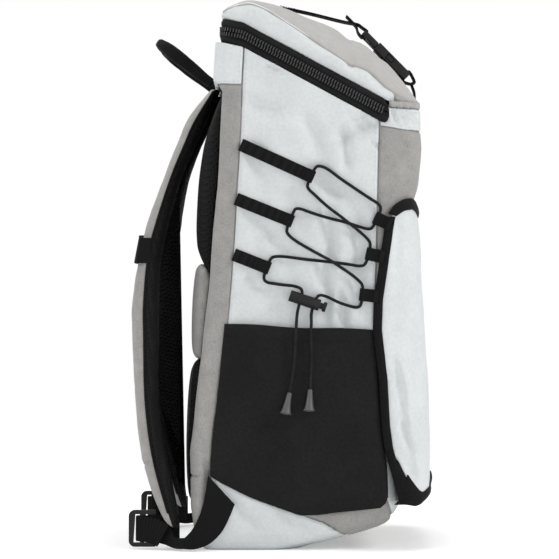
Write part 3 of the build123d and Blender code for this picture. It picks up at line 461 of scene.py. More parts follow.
# a point of the bag's skin, share of the way from the back's middle to the front's, and its y when unrolled
def bagPoint(side, share, height, lift=0.0):
    front, rear, drawIn = (eased(bag["profile"], height, column, 4) for column in (1, 2, 3))
    half = bag["halfWidth"] - drawIn
    frontRadius, rearRadius = bag["frontRadius"], bag["rearRadius"]
    spans = [half - rearRadius, pi / 2 * rearRadius, rear - front - rearRadius - frontRadius,
             pi / 2 * frontRadius, half - frontRadius]
    walked = share * sum(spans)
    unrolled = rear - rearRadius + spans[0] + spans[1] - walked
    if walked < spans[0]:
        x, y, out = walked, rear, (0, 1)
    elif walked < spans[0] + spans[1]:
        turn = (walked - spans[0]) / rearRadius
        x, y = half - rearRadius + rearRadius * sin(turn), rear - rearRadius + rearRadius * cos(turn)
        out = (sin(turn), cos(turn))
    elif walked < sum(spans[:3]):
        x, y, out = half, rear - rearRadius - (walked - spans[0] - spans[1]), (1, 0)
    elif walked < sum(spans[:4]):
        turn = (walked - sum(spans[:3])) / frontRadius
        x, y = half - frontRadius + frontRadius * cos(turn), front + frontRadius - frontRadius * sin(turn)
        out = (cos(turn), -sin(turn))
    else:
        x, y, out = half - frontRadius - (walked - sum(spans[:4])), front, (0, -1)
    # the front bulges a little in its middle
    facing, outward = max(0.0, -out[1]), min(1, x / bag["flatHalf"])
    y += bag["crown"] * facing ** 2 * outward ** 2 * along(bag["crownShare"], height)
    return (side * (x + out[0] * lift), y + out[1] * lift, height), unrolled


# how far the cloth stands off the plain form: soft waves, folds and creases
def clothLift(side, unrolled, height):
    lift = 1.2 * rough(side * 3, unrolled, height, 48) + 0.3 * rough(side * 7, unrolled, height, 19)
    shift = 6 * rough(side * 5, unrolled, height, 60)
    for line, width, depth in sideFolds + gussetFolds + frontFolds:
        distance, fade = foldShape(line, unrolled + 0.6 * shift, height + side * 4)
        if distance < 3 * width:
            rim, hollow = bump(distance - 1.3 * width, width), bump(distance, 0.8 * width)
            lift += fade * depth * (0.25 * rim - 1.5 * hollow)
    for line, width, depth in sideRidges:
        distance, fade = foldShape(line, unrolled + 0.4 * shift, height)
        lift += fade * depth * bump(distance, width)
    # held down where a pocket lies over the panel, and freed over the 10 above it
    front, rear, top = bag["underPocket"]
    highest = bag["bareLift"]
    if front < unrolled < rear and height < top + 10:
        highest = mix(bag["coveredLift"], highest, max(0, (height - top) / 10))
    return min(lift, highest)


def shellPlace(u, v):
    side = -1 if u < 0.5 else 1
    share = 1 - abs(2 * u - 1)
    if v < bag["baseShare"]:
        x, y, z = bagPoint(side, share, 0)[0]
        grow = sqrt(v / bag["baseShare"])
        return (x * grow, bag["middleY"] + (y - bag["middleY"]) * grow, 0.0)
    height = bag["top"] * (v - bag["baseShare"]) / (1 - bag["baseShare"])
    unrolled = bagPoint(side, share, height)[1]
    lift = clothLift(side, unrolled, height) * min(1, height / 20)
    return bagPoint(side, share, height, lift)[0]


# the zip's line rises to the rear and levels out at the rear corners
zipLine = {"angle": 28.3, "y": 1.9, "z": 484.0, "endY": -104.5, "levelY": 38.0, "levelSlope": 0.22,
           "halfBand": 10.5, "hingeZ": 438.7, "hingeGap": 0.2, "rearY": 59.0, "cornerRadius": 14.0}


def zipHeight(y, distance=0.0):
    slope = tan(radians(zipLine["angle"]))
    low = min(y, zipLine["levelY"])
    rise = zipLine["z"] + slope * (low - zipLine["y"]) + zipLine["levelSlope"] * max(0, y - zipLine["levelY"])
    return rise + distance / cos(radians(zipLine["angle"]))


# seams as lines of (y, z), each cut through both sides; far is a place beyond the bag
far = bag["far"]
seams = {
    # round the foot of the bag, down the rear corners and under the back
    "base": [(far, 11), (88, 11), (79, 30), (73.5, 50), (70.2, 73), (31, 53.4), (-17.5, 35), (-53.4, 38),
             (-103, 49.5), (-far, 49.5)],
    # the felt patch at the foot's front, and its cheek at the corner
    "patch": [(-19.4, 35.5), (-40.7, 28), (-63, 13.6), (-70, 6), (-74, -1)],
    "cheek": [(-103, 49.5), (-109, 31)],
    # side panel to the felt gusset, and the gusset's foot
    "gusset": [(35.5, 520), (39, 456), (40.4, 410), (44, 355), (47.8, 286), (52.8, 225), (59, 177), (64, 141),
               (69.5, 93), (70.2, 73), (73.5, 50), (79, 30), (88, 11)],
    "rearBase": [(84, 73), (far, 73)],
    # side panel to the felt front
    "front": [(-95, 445), (-95, 418), (-93, 330), (-91, 225), (-97, 120), (-99, 92), (-111, 82),
              (-114, 49.5)],
    # the white yokes at the top of the back and of the front, and the felt hem above
    "yoke": [(39, 455), (far, 455)],
    "strip": [(-95, 415), (-118, 411), (-far, 409.5)], "hem": [(-97, 433), (-far, 431)],
}
# the shell ends along the lower edge of the zip's band, and at the hinge line in front of it
hingeCut, bandEdge = zipLine["hingeZ"] - zipLine["hingeGap"], -zipLine["halfBand"]
cutLine = [(-far, hingeCut), (zipLine["endY"], hingeCut), (zipLine["endY"], 425), (-103.3, 421),
           (-100.6, 419)]
cutLine += [(y, zipHeight(y, bandEdge)) for y in (-96.5, zipLine["levelY"], far)]


# cuts the mesh along a line, moved sideways by an offset, only in the faces near it
def cutAlong(bm, line, offset=0.0):
    for (y0, z0), (y1, z1) in zip(line, line[1:]):
        length = hypot(y1 - y0, z1 - z0)
        across = Vector((0, -(z1 - z0) / length, (y1 - y0) / length))
        middle = Vector((0, (y0 + y1) / 2, (z0 + z1) / 2)) + across * offset
        reach = 9
        near = []
        for face in bm.faces:
            centre = face.calc_center_median() / mm
            if abs((centre - middle).dot(across)) < reach:
                if lineDistance([(y0, z0), (y1, z1)], centre.y, centre.z) < reach:
                    near.append(face)
        parts = set(near)
        for face in near:
            parts.update(face.edges)
            parts.update(face.verts)
        bmesh.ops.bisect_plane(bm, geom=list(parts), dist=2e-5, plane_co=middle * mm, plane_no=across)


shell = gridOnForm(bag["around"], bag["up"], shellPlace, (900, 530))
bmesh.ops.recalc_face_normals(shell, faces=shell.faces)
for line in seams.values():
    for offset in (-bag["seamWidth"], 0, bag["seamWidth"]):
        cutAlong(shell, line, offset)
cutAlong(shell, cutLine)
aboveCut = cutLine + [(far, 700), (-far, 700)]
spare = [face for face in shell.faces
         if inside(aboveCut, face.calc_center_median().y / mm, face.calc_center_median().z / mm)]
bmesh.ops.delete(shell, geom=spare, context="FACES")


def seamDistance(point):
    y, z = point.y / mm, point.z / mm
    best = 50.0
    for name, line in seams.items():
        if name != "base" or y > -103:
            best = min(best, lineDistance(line, y, z))
    return best


seamLayer = shell.verts.layers.float.new("seam")
for vert in shell.verts:
    distance = seamDistance(vert.co)
    vert[seamLayer] = max(0.0, seamShade(distance))
    vert.co -= vert.normal * bag["seamDepth"] * mm * bump(distance, bag["seamWidth"] * 0.6)


# which panel a face belongs to, from the seams round it
def panelName(x, y, z):
    if inside(seams["base"] + [(-far, -20), (far, -20)], y, z):
        cheek = abs(x) > 100 and inside([(-far, 31), (-109, 31), (-103, 49.5), (-103, 60), (-far, 60)], y, z)
        frontArea = inside(seams["patch"] + [(-74, -20), (-far, -20), (-far, 60), (-53.4, 60)], y, z)
        return "baseFront" if frontArea and not cheek else "basePanel"
    if inside(seams["gusset"] + [(far, 11), (far, 520)], y, z):
        if z < 73:
            return "basePanel" if abs(x) < 118 and y > 80 else "baseRear"
        return "rearYoke" if z > 455 else "backPanel" if abs(x) < 118 else "backGussets"
    if inside(seams["front"] + [(-far, 45), (-far, 445)], y, z):
        if z > 430 and inside(seams["hem"] + [(-far, 500), (-97, 500)], y, z):
            return "frontHem"
        return "frontStrip" if inside(seams["strip"] + [(-far, 500), (-95, 500)], y, z) else "frontPanel"
    return "sideLeft" if x < 0 else "sideRight"


panels = {
    "basePanel": (shellNylon, "white_shell", "base_panel"),
    "baseFront": (greyFelt, "grey_felt", "base_front"),
    "baseRear": (greyFelt, "grey_felt", "base_panel"),
    "rearYoke": (shellNylon, "white_shell", "rear_yoke"),
    "backPanel": (airMesh, "black_mesh", "back_panel"),
    "backGussets": (greyFelt, "grey_felt", "back_gussets"),
    "frontStrip": (shellNylon, "white_shell", "front_yoke"),
    "frontHem": (feltLitFromAbove, "grey_felt", "front_yoke"),
    "frontPanel": (greyFelt, "grey_felt", "front_panel"),
    "sideLeft": (shellNylon, "white_shell", "side_panel_left"),
    "sideRight": (shellNylon, "white_shell", "side_panel_right"),
}
homes = []
for face in shell.faces:
    centre = face.calc_center_median() / mm
    homes.append(panelName(centre.x, centre.y, centre.z))
for name, (material, slotName, node) in panels.items():
    part = shell.copy()
    spare = [face for face, home in zip(part.faces, homes) if home != name]
    bmesh.ops.delete(part, geom=spare, context="FACES")
    makePiece(part, name, [material, lining], "pack", [node], wall=bag["wall"], lined=True)
shell.free()
# the plain parts inside the back keep their solids
for node, material in (("frame_sheet", sheetPlastic), ("frame_stays", stayAlloy), ("base_stiffener", foam)):
    nodes[node].data.materials.clear()
    nodes[node].data.materials.append(material)
print("shell panels sewn")

# the lid: a domed felt top, and a gusset down to the zip
lid = {
    "columns": 110, "rows": 80, "frontY": -136.4, "dome": 2.2, "topWall": 2.2, "gussetWall": 2.0,
    # y, half width, side seam, crown
    "rowsAlong": [(-136.4, 96, 439.5, 440.5), (-133.2, 111, 440, 450), (-127, 121, 441, 462),
                  (-118, 128.4, 443, 474), (-105, 133, 452, 489), (-86, 134, 469, 503),
                  (-60, 134, 480, 517.5), (-33, 134, 498, 530), (-9, 134, 514, 539), (14, 134, 529, 545),
                  (31, 134, 536, 547), (46, 134, 533, 543), (54, 129, 530, 538), (58, 120, 528, 534)],
    "rearY": 58.0, "feltFrom": -108.0,
}
lidFolds = [([(-66, 500), (-60, 520)], 8, 2.4), ([(-100, 478), (-92, 500)], 8, 2.4),
            ([(-72, 486), (-56, 508)], 7, 1.6), ([(-30, 500), (-24, 520)], 12, 1.2)]
gussetCreases = [([(-67, 474), (-65, 488)], 4, 1.8), ([(-90, 464), (-98, 452), (-108, 440)], 5, 1.8),
                 ([(-40, 494), (-28, 500)], 5, 1.0), ([(0, 512), (10, 526)], 5, 1.0)]


# half width, side seam and crown of the lid at y; the seam dips where a crease meets it
def lidRow(y):
    rows, rounded = lid["rowsAlong"], -130 < y < 50
    half, seam, crown = [eased(rows, y, column, 5) if rounded else along(rows, y, column)
                         for column in (1, 2, 3)]
    return half, seam - 1.8 * bump(y + 67, 3.5) - 1.2 * bump(y + 101, 5), crown


def domeHeight(across, seam, crown):
    return seam + (crown - seam) * (1 - across ** lid["dome"])


def lidTopPlace(u, v):
    across = 2 * u - 1
    y = mix(lid["frontY"], lid["rearY"], v)
    half, seam, crown = lidRow(y)
    x = across * half
    z = domeHeight(abs(across), seam, crown)
    edge = min(1 - abs(across), 0.5)
    z += 1.4 * rough(x, y, 3, 34) * min(1, 6 * edge) * min(1, 12 * v)
    for line, width, depth in lidFolds:
        acrossLid = [(line[0][0], -20), (line[1][0], 90)]
        distance = lineDistance(acrossLid, y + 5 * rough(x, y, 1, 40), abs(x))
        z -= depth * bump(distance, width) * min(1, 8 * edge)
    z -= 1.6 * bump((1 - abs(across)) * half, 3.0)
    return (x, y, z)


# plan of the rim, walked from the left front round the back to the right front
leftRim = [(-along(lid["rowsAlong"], y), y)
           for y in (-136.4, -133.2, -127, -118, -105, -86, -40, 14, 46, 54, 58)]
rimPath = leftRim + [(-x, y) for x, y in leftRim[::-1]]
rimLengths = [hypot(b[0] - a[0], b[1] - a[1]) for a, b in zip(rimPath, rimPath[1:])]


def lidRim(u):
    walked = u * sum(rimLengths)
    for a, b, length in zip(rimPath, rimPath[1:], rimLengths):
        if walked <= length:
            return mix(a[0], b[0], walked / length), mix(a[1], b[1], walked / length)
        walked -= length
    return rimPath[-1]


def lidGussetPlace(u, v):
    x, y = lidRim(u)
    half, seam, crown = lidRow(y)
    low = max(zipLine["hingeZ"] + zipLine["hingeGap"], zipHeight(y, zipLine["halfBand"]))
    high = max(low + 0.3, domeHeight(min(1, abs(x) / half), seam, crown))
    tall = high - low
    z = mix(low, high, v)
    # swollen in its middle, drawn in at the zip, at the top seam and where white meets felt
    swell = 1.6 * sin(pi * v) * min(1, tall / 14) + 1.2 * rough(x * 2, y, z, 26) - 1.4 * bump(v * tall, 2.5)
    swell -= 1.6 * bump((1 - v) * tall, 2.5) + 1.4 * bump(y - lid["feltFrom"], 1.8)
    for line, width, depth in gussetCreases:
        swell -= depth * bump(lineDistance(line, y, z), width)
    swell = max(swell, -2.6)
    corner = max(0, min(1, (y - 46) / 12))
    return (x + (1 if x > 0 else -1) * swell * (1 - corner), y + swell * corner, z)


lidTop = gridOnForm(lid["columns"], lid["rows"], lidTopPlace, (270, 230))
faceOutwards(lidTop, (0, 0, 300))
makePiece(lidTop, "lidTop", [feltLitFromAbove, lining], "lid", ["lid_top_panel"], wall=lid["topWall"],
          lined=True)
lidGusset = gridOnForm(200, 14, lidGussetPlace, (640, 30))
faceOutwards(lidGusset, (0, 0, 480))
# white round the sides and back, felt across the front
for name, material, slotName, front in (("lidGusset", shellNylon, "white_shell", False),
                                        ("lidGussetFront", feltLitFromAbove, "grey_felt", True)):
    part = lidGusset.copy()
    spare = [face for face in part.faces if (face.calc_center_median().y / mm < lid["feltFrom"]) != front]
    bmesh.ops.delete(part, geom=spare, context="FACES")
    makePiece(part, name, [material, lining], "lid", ["lid_gusset"], wall=lid["gussetWall"],
              lined=True)
lidGusset.free()
print("lid sewn")


# the zip: plan of its line from the left end (0) round the back to the right end, with its outward direction
def zipPlan(walked):
    half, radius, rear = bag["halfWidth"], zipLine["cornerRadius"], zipLine["rearY"]
    straight = rear - radius - zipLine["endY"]
    spans = [straight, pi / 2 * radius, 2 * (half - radius), pi / 2 * radius, straight]
    if walked <= spans[0]:
        return (-half, zipLine["endY"] + walked), (-1, 0)
    walked -= spans[0]
    if walked <= spans[1]:
        turn = walked / radius
        out = (-cos(turn), sin(turn))
        return (radius - half + radius * out[0], rear - radius + radius * out[1]), out
    walked -= spans[1]
    if walked <= spans[2]:
        return (-half + radius + walked, rear), (0, 1)
    walked -= spans[2]
    if walked <= spans[3]:
        turn = walked / radius
        out = (sin(turn), cos(turn))
        return (half - radius + radius * out[0], rear - radius + radius * out[1]), out
    walked -= spans[3]
    return (half, rear - radius - walked), (1, 0)


zipLength = 2 * (zipLine["rearY"] - zipLine["cornerRadius"] - zipLine["endY"]) + pi * zipLine["cornerRadius"]
zipLength += 2 * (bag["halfWidth"] - zipLine["cornerRadius"])


def zipPoint(walked, distance, lift):
    (x, y), (outX, outY) = zipPlan(max(0.0, min(zipLength, walked)))
    return (x + outX * lift, y + outY * lift, zipHeight(y, distance))


# each tape runs from the middle gap to just under the cloth, with a raised rib and round ends
tape = {"gap": 0.4, "edge": 10.6, "wall": 1.2, "rib": (5.2, 8.6), "ribHeight": 0.7, "endRadius": 7,
        "endHalf": 3.0}


def zipTapePlace(low, high):
    halfBand, endRadius = zipLine["halfBand"], tape["endRadius"]

    def place(u, v):
        walked = u * zipLength
        near = min(walked, zipLength - walked)
        limit = halfBand
        if near < endRadius:
            limit = halfBand * sqrt(max(0.0, 1 - max(0.0, 1 - near / endRadius) ** 2))
        limit = max(limit, tape["endHalf"])
        distance = max(-limit, min(limit, mix(low, high, v)))
        away = abs(distance)
        onRib = tape["rib"][0] < away < tape["rib"][1]
        lift = -0.2 - 0.7 * bump(away - halfBand, 1.6) + (tape["ribHeight"] if onRib else 0.0)
        return zipPoint(walked, distance, lift)
    return place


for name, low, high, body, node in (("zipTapeUpper", tape["gap"], tape["edge"], "lid", "zip_tape_upper"),
                                    ("zipTapeLower", -tape["edge"], -tape["gap"], "pack", "zip_tape_lower")):
    band = gridOnForm(260, 12, zipTapePlace(low, high), (zipLength, 10))
    faceOutwards(band, (0, 0, 480))
    makePiece(band, name, [zipTape], body, [node], wall=tape["wall"])

# coil turns a pitch apart; their size is along the zip, across it and outwards
coil = {"pitch": 2.6, "size": (1.2, 3.7, 1.9), "fromEnd": 6, "lift": 1.1, "gap": 0.15}
for name, sign, body, node in (("zipCoilUpper", 1, "lid", "zip_coil_upper"),
                               ("zipCoilLower", -1, "pack", "zip_coil_lower")):
    teeth = bmesh.new()
    length, wide, thick = coil["size"]
    count = int((zipLength - 2 * coil["fromEnd"]) / coil["pitch"])
    for number in range(count):
        walked = coil["fromEnd"] + coil["pitch"] * (number + (0.5 if sign < 0 else 0))
        outX, outY = zipPlan(walked)[1]
        ahead = Vector(zipPoint(walked + 0.6, 0, 0)) - Vector(zipPoint(walked - 0.6, 0, 0))
        ahead.normalize()
        out = Vector((outX, outY, 0))
        up = out.cross(ahead)
        if up.z < 0:
            up = -up
        centre = Vector(zipPoint(walked, sign * (wide / 2 + coil["gap"]), coil["lift"])) * mm
        axes = Matrix((ahead * length * mm, up * wide * mm, out * thick * mm)).transposed().to_4x4()
        bmesh.ops.create_cube(teeth, size=1.0, matrix=Matrix.Translation(centre) @ axes)
    bmesh.ops.recalc_face_normals(teeth, faces=teeth.faces)
    makePiece(teeth, name, [coilNylon], body, [node], smooth=False)
print("zip sewn in")

# the front flap over the helmet pocket, bound round its edge
flap = {
    "halfWidth": 138.0, "cornerRadius": 42.0, "wall": 2.0, "bindingWall": 2.4, "floorWall": 1.2,
    "front": [(40, -146.5), (60, -150), (110, -149), (162, -146.8), (265, -140.8), (338, -137.6),
              (350, -137.2)],
    # rear edge of the binding, bottom to top: height, y
    "edge": [(43, -116), (47.5, -114.5), (66, -109), (101, -99.4), (123, -96.5), (168, -94), (216, -88.3),
             (245, -89.2), (284, -95), (313, -99.5), (328, -102.5), (338, -110), (343.5, -120), (345, -131)],
    # upper and lower edges against y, and the edges of the skin inside the binding
    "top": [(-200, 337), (-145, 337), (-131, 345), (-120, 343.5), (-110, 338), (-102.5, 328)],
    "low": [(-200, 60), (-146, 60), (-131, 43.5), (-114.5, 47.5), (-109, 66)],
    "skinTop": [(-200, 327), (-145, 327), (-131, 334), (-120, 332), (-111, 326)],
    "skinLow": [(-200, 69), (-146, 69), (-133, 55.5), (-124, 70), (-119, 79), (-112, 96)],
    # how wide the binding is down the side: height, width
    "binding": [(60, 9), (130, 8.5), (250, 9), (328, 9)],
    "crown": 6.0, "crownShare": [(46, 0.4), (80, 1), (300, 1), (345, 0.85)],
}
# folds down the flap: a line of (y, z), its width, and its depth or, if negative, its height
flapFolds = [([(-109, 180), (-116, 122), (-127, 72)], 7, 3.4),
             ([(-114, 182), (-123, 130), (-135, 68)], 2.6, -2.0),
             ([(-114, 330), (-110, 250), (-112, 190)], 10, 3.0),
             ([(-126, 300), (-122, 240), (-128, 180)], 13, 2.4),
             ([(-132, 250), (-136, 180), (-138, 120)], 12, 2.0),
             ([(-118, 120), (-132, 90), (-142, 70)], 5, 1.8), ([(-100, 130), (-110, 96), (-122, 70)], 6, 1.8),
             ([(-108, 316), (-112, 296), (-108, 276)], 6, 1.6)]


# a point of the flap from its unrolled y, measured on past the corner round to the front
def flapPoint(side, unrolled, height, lift=0.0):
    front = eased(flap["front"], height, 1, 10)
    half, radius = flap["halfWidth"], flap["cornerRadius"]
    start = front + radius
    quarter = pi / 2 * radius
    if unrolled > start:
        x, y, out = half, unrolled, (1, 0)
    elif start - unrolled < quarter:
        turn = (start - unrolled) / radius
        x, y, out = half - radius + radius * cos(turn), start - radius * sin(turn), (cos(turn), -sin(turn))
    else:
        x, y, out = half - radius - (start - unrolled - quarter), front, (0, -1)
    outward = min(1, (x / bag["flatHalf"]) ** 2)
    y += flap["crown"] * max(0.0, -out[1]) ** 2 * outward * along(flap["crownShare"], height)
    return (side * (x + out[0] * lift), y + out[1] * lift, height)


# the unrolled y of the flap's middle line
def flapMiddle(height):
    radius = flap["cornerRadius"]
    return eased(flap["front"], height, 1, 10) + radius - pi / 2 * radius - (flap["halfWidth"] - radius)


# an edge that is drawn against y, found where the cloth has gone round the corner
def heightAt(rows, unrolled):
    y = flapPoint(1, unrolled, 200)[1]
    return eased(sorted(rows), y, 1, 2.5)


def flapLift(side, unrolled, height):
    lift = 1.3 * rough(side * 9, unrolled, height, 46) + 0.6 * rough(side * 4, unrolled, height, 17)
    shift = 7 * rough(side * 2, unrolled, height, 60)
    for line, width, depth in flapFolds:
        distance = lineDistance(line, unrolled + shift, height + 3 * side)
        if distance < 3 * width:
            lift -= depth * bump(distance, width)
            if depth > 0:
                lift += 0.6 * depth * bump(distance - 1.5 * width, width)
    return lift


def flapPlace(u, v):
    side = -1 if u < 0.5 else 1
    share = abs(2 * u - 1)
    height = mix(69, 331, v)
    for turn in range(4):
        edge = along(flap["edge"], height) - along(flap["binding"], height) + 3.5
        unrolled = mix(flapMiddle(height), edge, share)
        height = mix(heightAt(flap["skinLow"], unrolled) - 4.5, heightAt(flap["skinTop"], unrolled) + 3.0, v)
    near = min(v, 1 - v, (1 - share) * 0.7)
    lift = flapLift(side * min(1, 4 * share), unrolled, height) * min(1, 12 * near)
    lift += 1.5 * min(1, 8 * near) - 0.6 * bump(near, 0.012)
    return flapPoint(side, unrolled, height, max(lift, -2.0))


flapCloth = gridOnForm(190, 100, flapPlace, (420, 290))
faceOutwards(flapCloth, (0, 0, 190))
makePiece(flapCloth, "flapCloth", [shellNylon, lining], "pack", ["front_flap"],
          wall=flap["wall"], lined=True)


# inner and outer give a point of each edge at a share of the way round
def bindingPlace(inner, outer):
    def place(u, v):
        (u0, z0), (u1, z1) = inner(u), outer(u)
        unrolled, height = mix(u0, u1, v), mix(z0, z1, v)
        lift = 1.2 * sin(pi * v) + 0.9 * (1 - v) + 0.4 * rough(unrolled, height, 3, 9) + 0.2
        return flapPoint(-1 if u < 0.5 else 1, unrolled, height, lift)
    return place


# up one side of the flap, from its low tip to its rounded top corner
def upright(inner):
    def edge(share):
        height = mix(48, 326, share)
        y = along(flap["edge"], height)
        if not inner:
            return (y, height)
        low = max(0.0, 1 - (height - 48) / 34)
        return (y - (along(flap["binding"], height) + 9.5 * low), height + 12 * low)
    return edge


# round the front from one rear corner to the other
def roundFront(rows, rear, height, inset):
    def edge(u):
        share = abs(2 * u - 1)
        unrolled = mix(flapMiddle(height), rear - inset * share, share)
        return (unrolled, heightAt(flap[rows], unrolled))
    return edge


for label, side in (("left", -1), ("right", 1)):
    form = gridOnForm(150, 6, bindingPlace(upright(True), upright(False)), (290, 10))
    for vert in form.verts:
        vert.co.x = side * abs(vert.co.x)
    faceOutwards(form, (0, 0, 190))
    makePiece(form, "flapBindingSide." + label, [bindingTape], "pack", ["flap_binding"],
              wall=flap["bindingWall"])
for name, outerRows, innerRows, rear, height in (("flapBindingTop", "top", "skinTop", -103.5, 338),
                                                 ("flapBindingLow", "low", "skinLow", -115.5, 58)):
    edges = roundFront(innerRows, rear, height, 8), roundFront(outerRows, rear, height, 0)
    form = gridOnForm(200, 6, bindingPlace(*edges), (430, 10))
    faceOutwards(form, (0, 0, 190))
    makePiece(form, name, [bindingTape], "pack", ["flap_binding"], wall=flap["bindingWall"])


# the pocket's floor, from the flap's lower edge in to the bag
def flapFloorPlace(u, v):
    side = -1 if u < 0.5 else 1
    share = abs(2 * u - 1)
    unrolled = mix(flapMiddle(58), -112, share)
    height = heightAt(flap["low"], unrolled) + 0.6 if unrolled < -114.5 else 47.5
    outer = Vector(flapPoint(side, unrolled, height, -1.6))
    front = eased(bag["profile"], 50, 1, 4)
    inner = Vector((outer.x * 0.95, max(front - 0.6, outer.y + 2), 46))
    if inner.y < front + 36 and abs(inner.x) > 96:
        inner.y = min(inner.y, front + 38 - sqrt(max(0.0, 38 ** 2 - (abs(inner.x) - 94) ** 2)) * 0.99)
    return outer.lerp(inner, v)


flapFloor = gridOnForm(120, 5, flapFloorPlace, (400, 25))
makePiece(flapFloor, "flapFloor", [bindingTape], "pack", wall=flap["floorWall"])

# the pull tab in the middle of the flap's lower edge; it narrows from pointFrom down
tab = {"half": 10, "top": 68, "length": 12.5, "pointFrom": 0.45, "narrows": 0.75, "wall": 1.6}


def tabPlace(u, v):
    half = tab["half"] * (1 - tab["narrows"] * max(0, v - tab["pointFrom"]) / (1 - tab["pointFrom"]))
    y = along(flap["front"], 66) - 1.6 - 0.8 * sin(pi * v)
    return ((2 * u - 1) * half, y, tab["top"] - tab["length"] * v)


tabForm = gridOnForm(8, 10, tabPlace, (20, 13))
makePiece(tabForm, "flapPullTab", [blackWebbing], "pack", ["flap_tab"], wall=tab["wall"])
print("flap sewn")

# side pockets in stretch knit, sewn down at the foot and both edges and open at the hem
pocket = {
    "depth": 8.4, "hem": 13.0, "wall": 1.3,
    # height, rear edge, front edge
    "edges": [(36, -20, -80), (44, 9, -100), (53, 33, -103.4), (64, 54, -103.4), (73, 70, -103),
              (87, 69.8, -102), (119, 66.8, -97), (155, 62.4, -94.8), (184, 59.6, -92.8), (221, 56, -89)],
    # lower edge: y, height
    "bottom": [(-102.5, 46), (-97, 42.5), (-80, 40.6), (-53, 38), (-36, 35.6), (-17.5, 35.2), (0, 41.4),
               (31, 52.6), (69.5, 72)],
    "folds": [([(50, 200), (20, 150), (0, 90)], 12, 0.9), ([(-80, 190), (-60, 120), (-70, 70)], 12, 0.9),
              ([(40, 90), (0, 70), (-40, 60)], 10, 1.0), ([(-92, 130), (-84, 90), (-90, 56)], 6, 0.8),
              ([(58, 120), (48, 90), (44, 72)], 7, 0.9)],
}


def pocketPlace(side):
    def place(u, v):
        y = mix(62, -94, u)
        height = 130.0
        for turn in range(4):
            low = along(pocket["bottom"], y)
            top = mix(221.8, 215.8, u) + 0.8 * sin(3 * pi * u)
            height = mix(low, top, v)
            y = mix(along(pocket["edges"], height, 1), along(pocket["edges"], height, 2), u)
        height = mix(along(pocket["bottom"], y), top, v)
        near = min(u, 1 - u) * 150
        foot = v * 170
        # full in its middle, flat where it is sewn down
        swell = pocket["depth"] * (1 - exp(-near / 9)) * (1 - exp(-(foot + 1) / 10))
        swell *= 0.72 + 0.28 * sin(pi * min(1, v * 1.05))
        swell += 0.9 * rough(side * 5, y, height, 36) * min(1, near / 15)
        for line, width, depth in pocket["folds"]:
            swell -= depth * bump(lineDistance(line, y, height), width)
        # the doubled hem and its two rows of sewing
        below = top - height
        swell += 0.5 if below < pocket["hem"] else 0.0
        swell -= 0.6 * bump(below - pocket["hem"], 1.2) + 1.2 * bump(below, 2.0)
        return (side * (bag["halfWidth"] + 0.6 + max(0.3, swell)), y, height)
    return place


for side, label in ((-1, "left"), (1, "right")):
    cloth = gridOnForm(80, 96, pocketPlace(side), (160, 180))
    faceOutwards(cloth, (0, -10, 130))
    makePiece(cloth, "stretchPocket." + label, [stretchKnit], "pack",
              ["side_pocket_" + label], wall=pocket["wall"])
print("pockets sewn")

# side lacing: an elastic cord through three straps and three loops a side, held by a cord lock
lace = {
    "width": 12.4, "cord": 3.0, "eyeHeight": 3.7, "eyeRadius": 2.75,
    # straps: root y and z, eye y and z; loops: eye y and z, slope
    "straps": [(40.2, 396.4, -28.1, 365.5), (44.8, 343.5, -7.7, 322.4), (47.0, 289.4, 14.9, 276.7)],
    "loops": [(-92.8, 324.2, 25.0), (-84.7, 289.8, 12.0), (-78.5, 250.1, 6.0)],
    "loopLength": 16.0, "overFlap": 4.3,
    # cord from the lock through every eye and back: y, z, height above the side
    "route": [
        (-18.4, 245.9, 6.2), (-21.4, 254.9, 6.0), (-12.9, 258.8, 4.2), (-2, 259.6, 2.6), (8, 261.0, 2.2),
        (15.3, 262.2, 3.0), (18.6, 266.6, 3.7), (12.1, 283.7, 3.7), (8.6, 287.6, 3.2), (-3, 287.4, 2.2),
        (-22, 284.6, 2.2), (-44, 282.4, 2.2), (-64, 280.0, 2.4), (-76, 277.6, 3.2), (-81.9, 279.6, 3.7),
        (-86.6, 298.6, 3.7), (-84.4, 303.6, 3.0), (-76, 311.4, 3.4), (-66.5, 318.8, 6.8), (-56.5, 326.8, 6.8),
        (-44, 336.0, 3.2), (-32, 347.4, 2.4), (-25.4, 353.2, 3.2), (-24.4, 357.4, 3.7), (-31.8, 373.6, 3.7),
        (-35.8, 376.0, 3.2), (-44, 373.2, 2.4), (-57, 363.0, 2.2), (-72, 353.0, 2.2), (-86, 343.6, 2.6),
        (-94.6, 338.4, 3.2), (-96.9, 333.2, 3.7), (-89.0, 316.2, 3.7), (-85.2, 313.6, 3.2), (-76, 316.0, 2.2),
        (-63, 320.6, 2.0), (-46, 324.6, 2.0), (-30, 329.4, 2.0), (-18.5, 333.8, 2.8), (-13.2, 334.2, 3.6),
        (-11.1, 330.6, 3.7), (-4.3, 313.9, 3.7), (-5.2, 309.2, 3.2), (-13, 302.6, 2.4), (-26, 295.0, 2.6),
        (-40, 287.4, 4.6), (-47.5, 283.4, 6.8), (-57, 277.0, 6.8), (-67, 270.4, 4.0), (-75.4, 263.6, 3.2),
        (-79.2, 258.6, 3.7), (-77.5, 241.2, 3.7), (-74.4, 237.6, 3.4), (-67.6, 238.4, 2.8), (-54, 243.0, 3.6),
        (-43.2, 248.9, 5.6), (-34.0, 250.6, 6.2), (-31.0, 241.7, 6.2)],
    "tails": [
        [(-18.4, 245.9, 6.2), (-15.6, 237.4, 6.6), (-14.2, 227.6, 10.8), (-13.6, 214.5, 11.5),
         (-12.9, 195.0, 11.1), (-11.0, 173.0, 11.2), (-6.9, 152.2, 12.0)],
        [(-31.0, 241.7, 6.2), (-28.2, 233.2, 6.8), (-28.6, 223.4, 10.8), (-28.0, 210.5, 11.5),
         (-28.9, 191.0, 11.1), (-28.1, 173.0, 11.2), (-27.2, 155.4, 12.0)]],
    "laceLength": 0.6568, "tailLengths": (0.0954, 0.0874),
}


